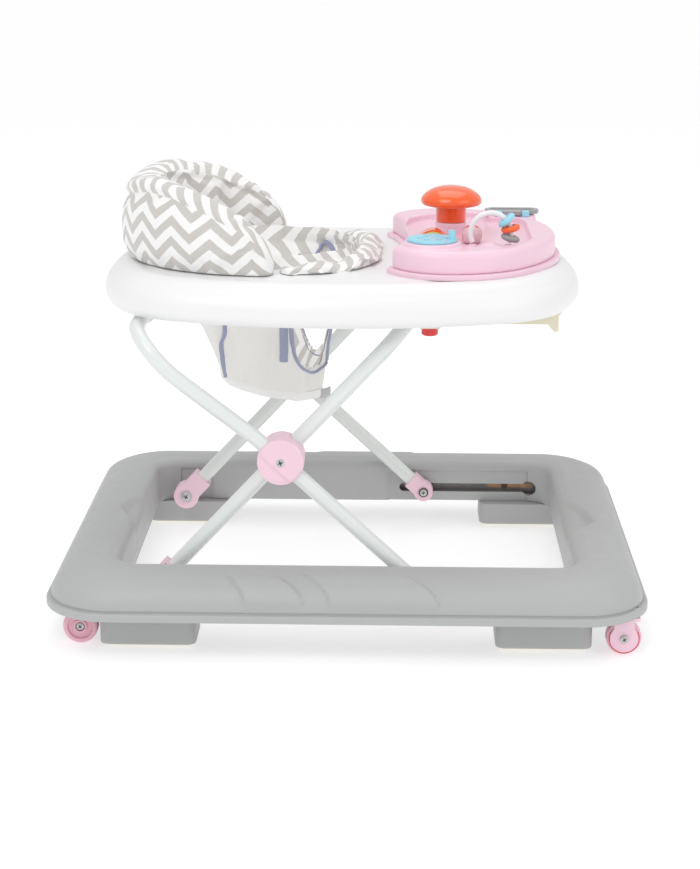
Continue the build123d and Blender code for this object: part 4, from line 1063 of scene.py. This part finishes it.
def make_hardware():
    slope = math.atan2(HUB_AT[1] - SHOE_AT[1], HUB_AT[0] - SHOE_AT[0])

    def band(radius, t):
        away = abs(radius * math.sin(t - slope))
        edge = 0.0038 * (1 - math.sqrt(max(0.0, 1 - (max(0.0, radius - 0.0236) / 0.0038) ** 2)))
        raised = 0.0017 * (1 - float(smooth_step(away, 0.0088, 0.0112))) * float(radius < 0.0266)
        return 0.0002 - edge + raised

    rings = [(r, band) for r in (*np.linspace(0.0002, 0.0236, 16), 0.0249, 0.0260, 0.0267, 0.02735)]
    rings += [(0.0274, -0.006), (0.0274, -0.0185)]
    for side, sign in SIDES:
        cover = facing_y(f"hub_cover_{side}", rings, HUB_AT, sign * 0.2152, sign, MATERIALS["hub_pink"])
        carried(cover, BODY_OF[f"outer_hub_{side}"])
        screw_head(f"hub_screw_{side}", HUB_AT, sign * 0.2163, sign, 0.0058, BODY_OF["hub_bolts"])
        screw_head(f"hub_nut_{side}", HUB_AT, sign * 0.1703, -sign, 0.0060, BODY_OF["hub_bolts"], 0.9)
        screw_head(f"pivot_screw_{side}", PIVOT_AT, sign * 0.1705, -sign, 0.0056, "base", 1.2)
        shoe = BODY_OF[f"slide_shoe_{side}"]
        screw_head(f"shoe_screw_{side}", SHOE_AT, sign * 0.1916, -sign, 0.0048, shoe, 0.2)
        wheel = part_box(f"rear_wheel_{side}")
        y_out = max(abs(wheel[0][1]), abs(wheel[1][1]))
        screw_head(f"rear_wheel_screw_{side}", centre_xz(*wheel), sign * (y_out - 0.0012), sign, 0.0046,
                   "base", 0.7)
        centre = centre_xz(*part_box(f"caster_wheel_{side}"))
        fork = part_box(f"caster_fork_{side}")
        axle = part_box(f"caster_axle_{side}")
        for end, toward in (("out", 1), ("in", -1)):
            y_fork = max(toward * fork[0][1], toward * fork[1][1]) * toward
            y_axle = max(toward * axle[0][1], toward * axle[1][1]) * toward
            screw_head(f"caster_screw_{side}_{end}", centre, y_axle, toward, 0.0046,
                       BODY_OF[f"caster_fork_{side}"], 0.5)
            ring = [(centre[0] + 0.0172 * math.cos(t), y_fork, centre[1] + 0.0172 * math.sin(t))
                    for t in np.linspace(-3.6, 0.5, 50)]
            trim = tube_along(f"caster_ring_{side}_{end}", ring, 0.0007, MATERIALS["ring_red"], sides=8)
            carried(trim, BODY_OF[f"caster_fork_{side}"])


# ---------------------------------------------------------------- toys
def make_toys():
    softened("toy_tray_shell", "toy_tray_cover", 0.0015, 7, MATERIALS["toy_pink"], "tray")
    cap = [(0.0005, 0.4614), (0.0176, 0.4614), (0.0183, 0.4622), (0.0183, 0.4792), (0.0190, 0.4801),
           (0.0290, 0.4806), (0.0345, 0.4820), (0.0368, 0.4843), (0.0374, 0.4872), (0.0366, 0.4900),
           (0.0343, 0.4934), (0.0303, 0.4970), (0.0250, 0.5002), (0.0185, 0.5027), (0.0115, 0.5043),
           (0.0050, 0.5049), (0.0004, 0.5050)]
    knob = lathe("mushroom_cap", cap, (0.122, 0.0, 0.0), MATERIALS["orange_gloss"], 72)
    carried(knob, "mushroom_knob", "mushroom_knob")
    top = [(0.080, 0.4485), (0.085, 0.4540), (0.091, 0.4580), (0.098, 0.4600), (0.105, 0.4590),
           (0.112, 0.4555), (0.118, 0.4515), (0.1245, 0.4495)]
    layers = (("wave_top", 0.0, 0.0020, "orange_gloss", 0.0), ("wave_edge", 0.0020, 0.0032, "lime", 0.0004),
              ("wave_core", 0.0032, 0.0070, "white_gloss", -0.0006))
    for name, above, below, look, spread in layers:
        outline = [(x, z - above) for x, z in top] + [(x, max(z - below, 0.4440)) for x, z in reversed(top)]
        layer = prism(name, outline, -0.0590 - spread, -0.0410 + spread)
        layer.data.materials.append(MATERIALS[look])
        sharpen(layer, 50)
        carried(layer, "wave_paddle", "wave_paddle" if name == "wave_top" else None)
    for number, spin in enumerate((0.3, 1.5, 2.7)):
        arc = [(0.146 + 0.0124 * math.cos(t) * math.cos(spin), -0.050 + 0.0124 * math.cos(t) * math.sin(spin),
                0.452 + 0.0124 * math.sin(t)) for t in np.linspace(-0.5, 2.2, 22)]
        stripe = tube_along(f"ball_stripe_{number}", arc, 0.0006, MATERIALS["ring_red"], flat=3.2, sides=8)
        carried(stripe, "rattle_ball")


make_camera()
make_stage()
dress_frame()
make_base()
make_tray()
make_backrest()
make_collar()
make_pouch()
make_hardware()
make_toys()
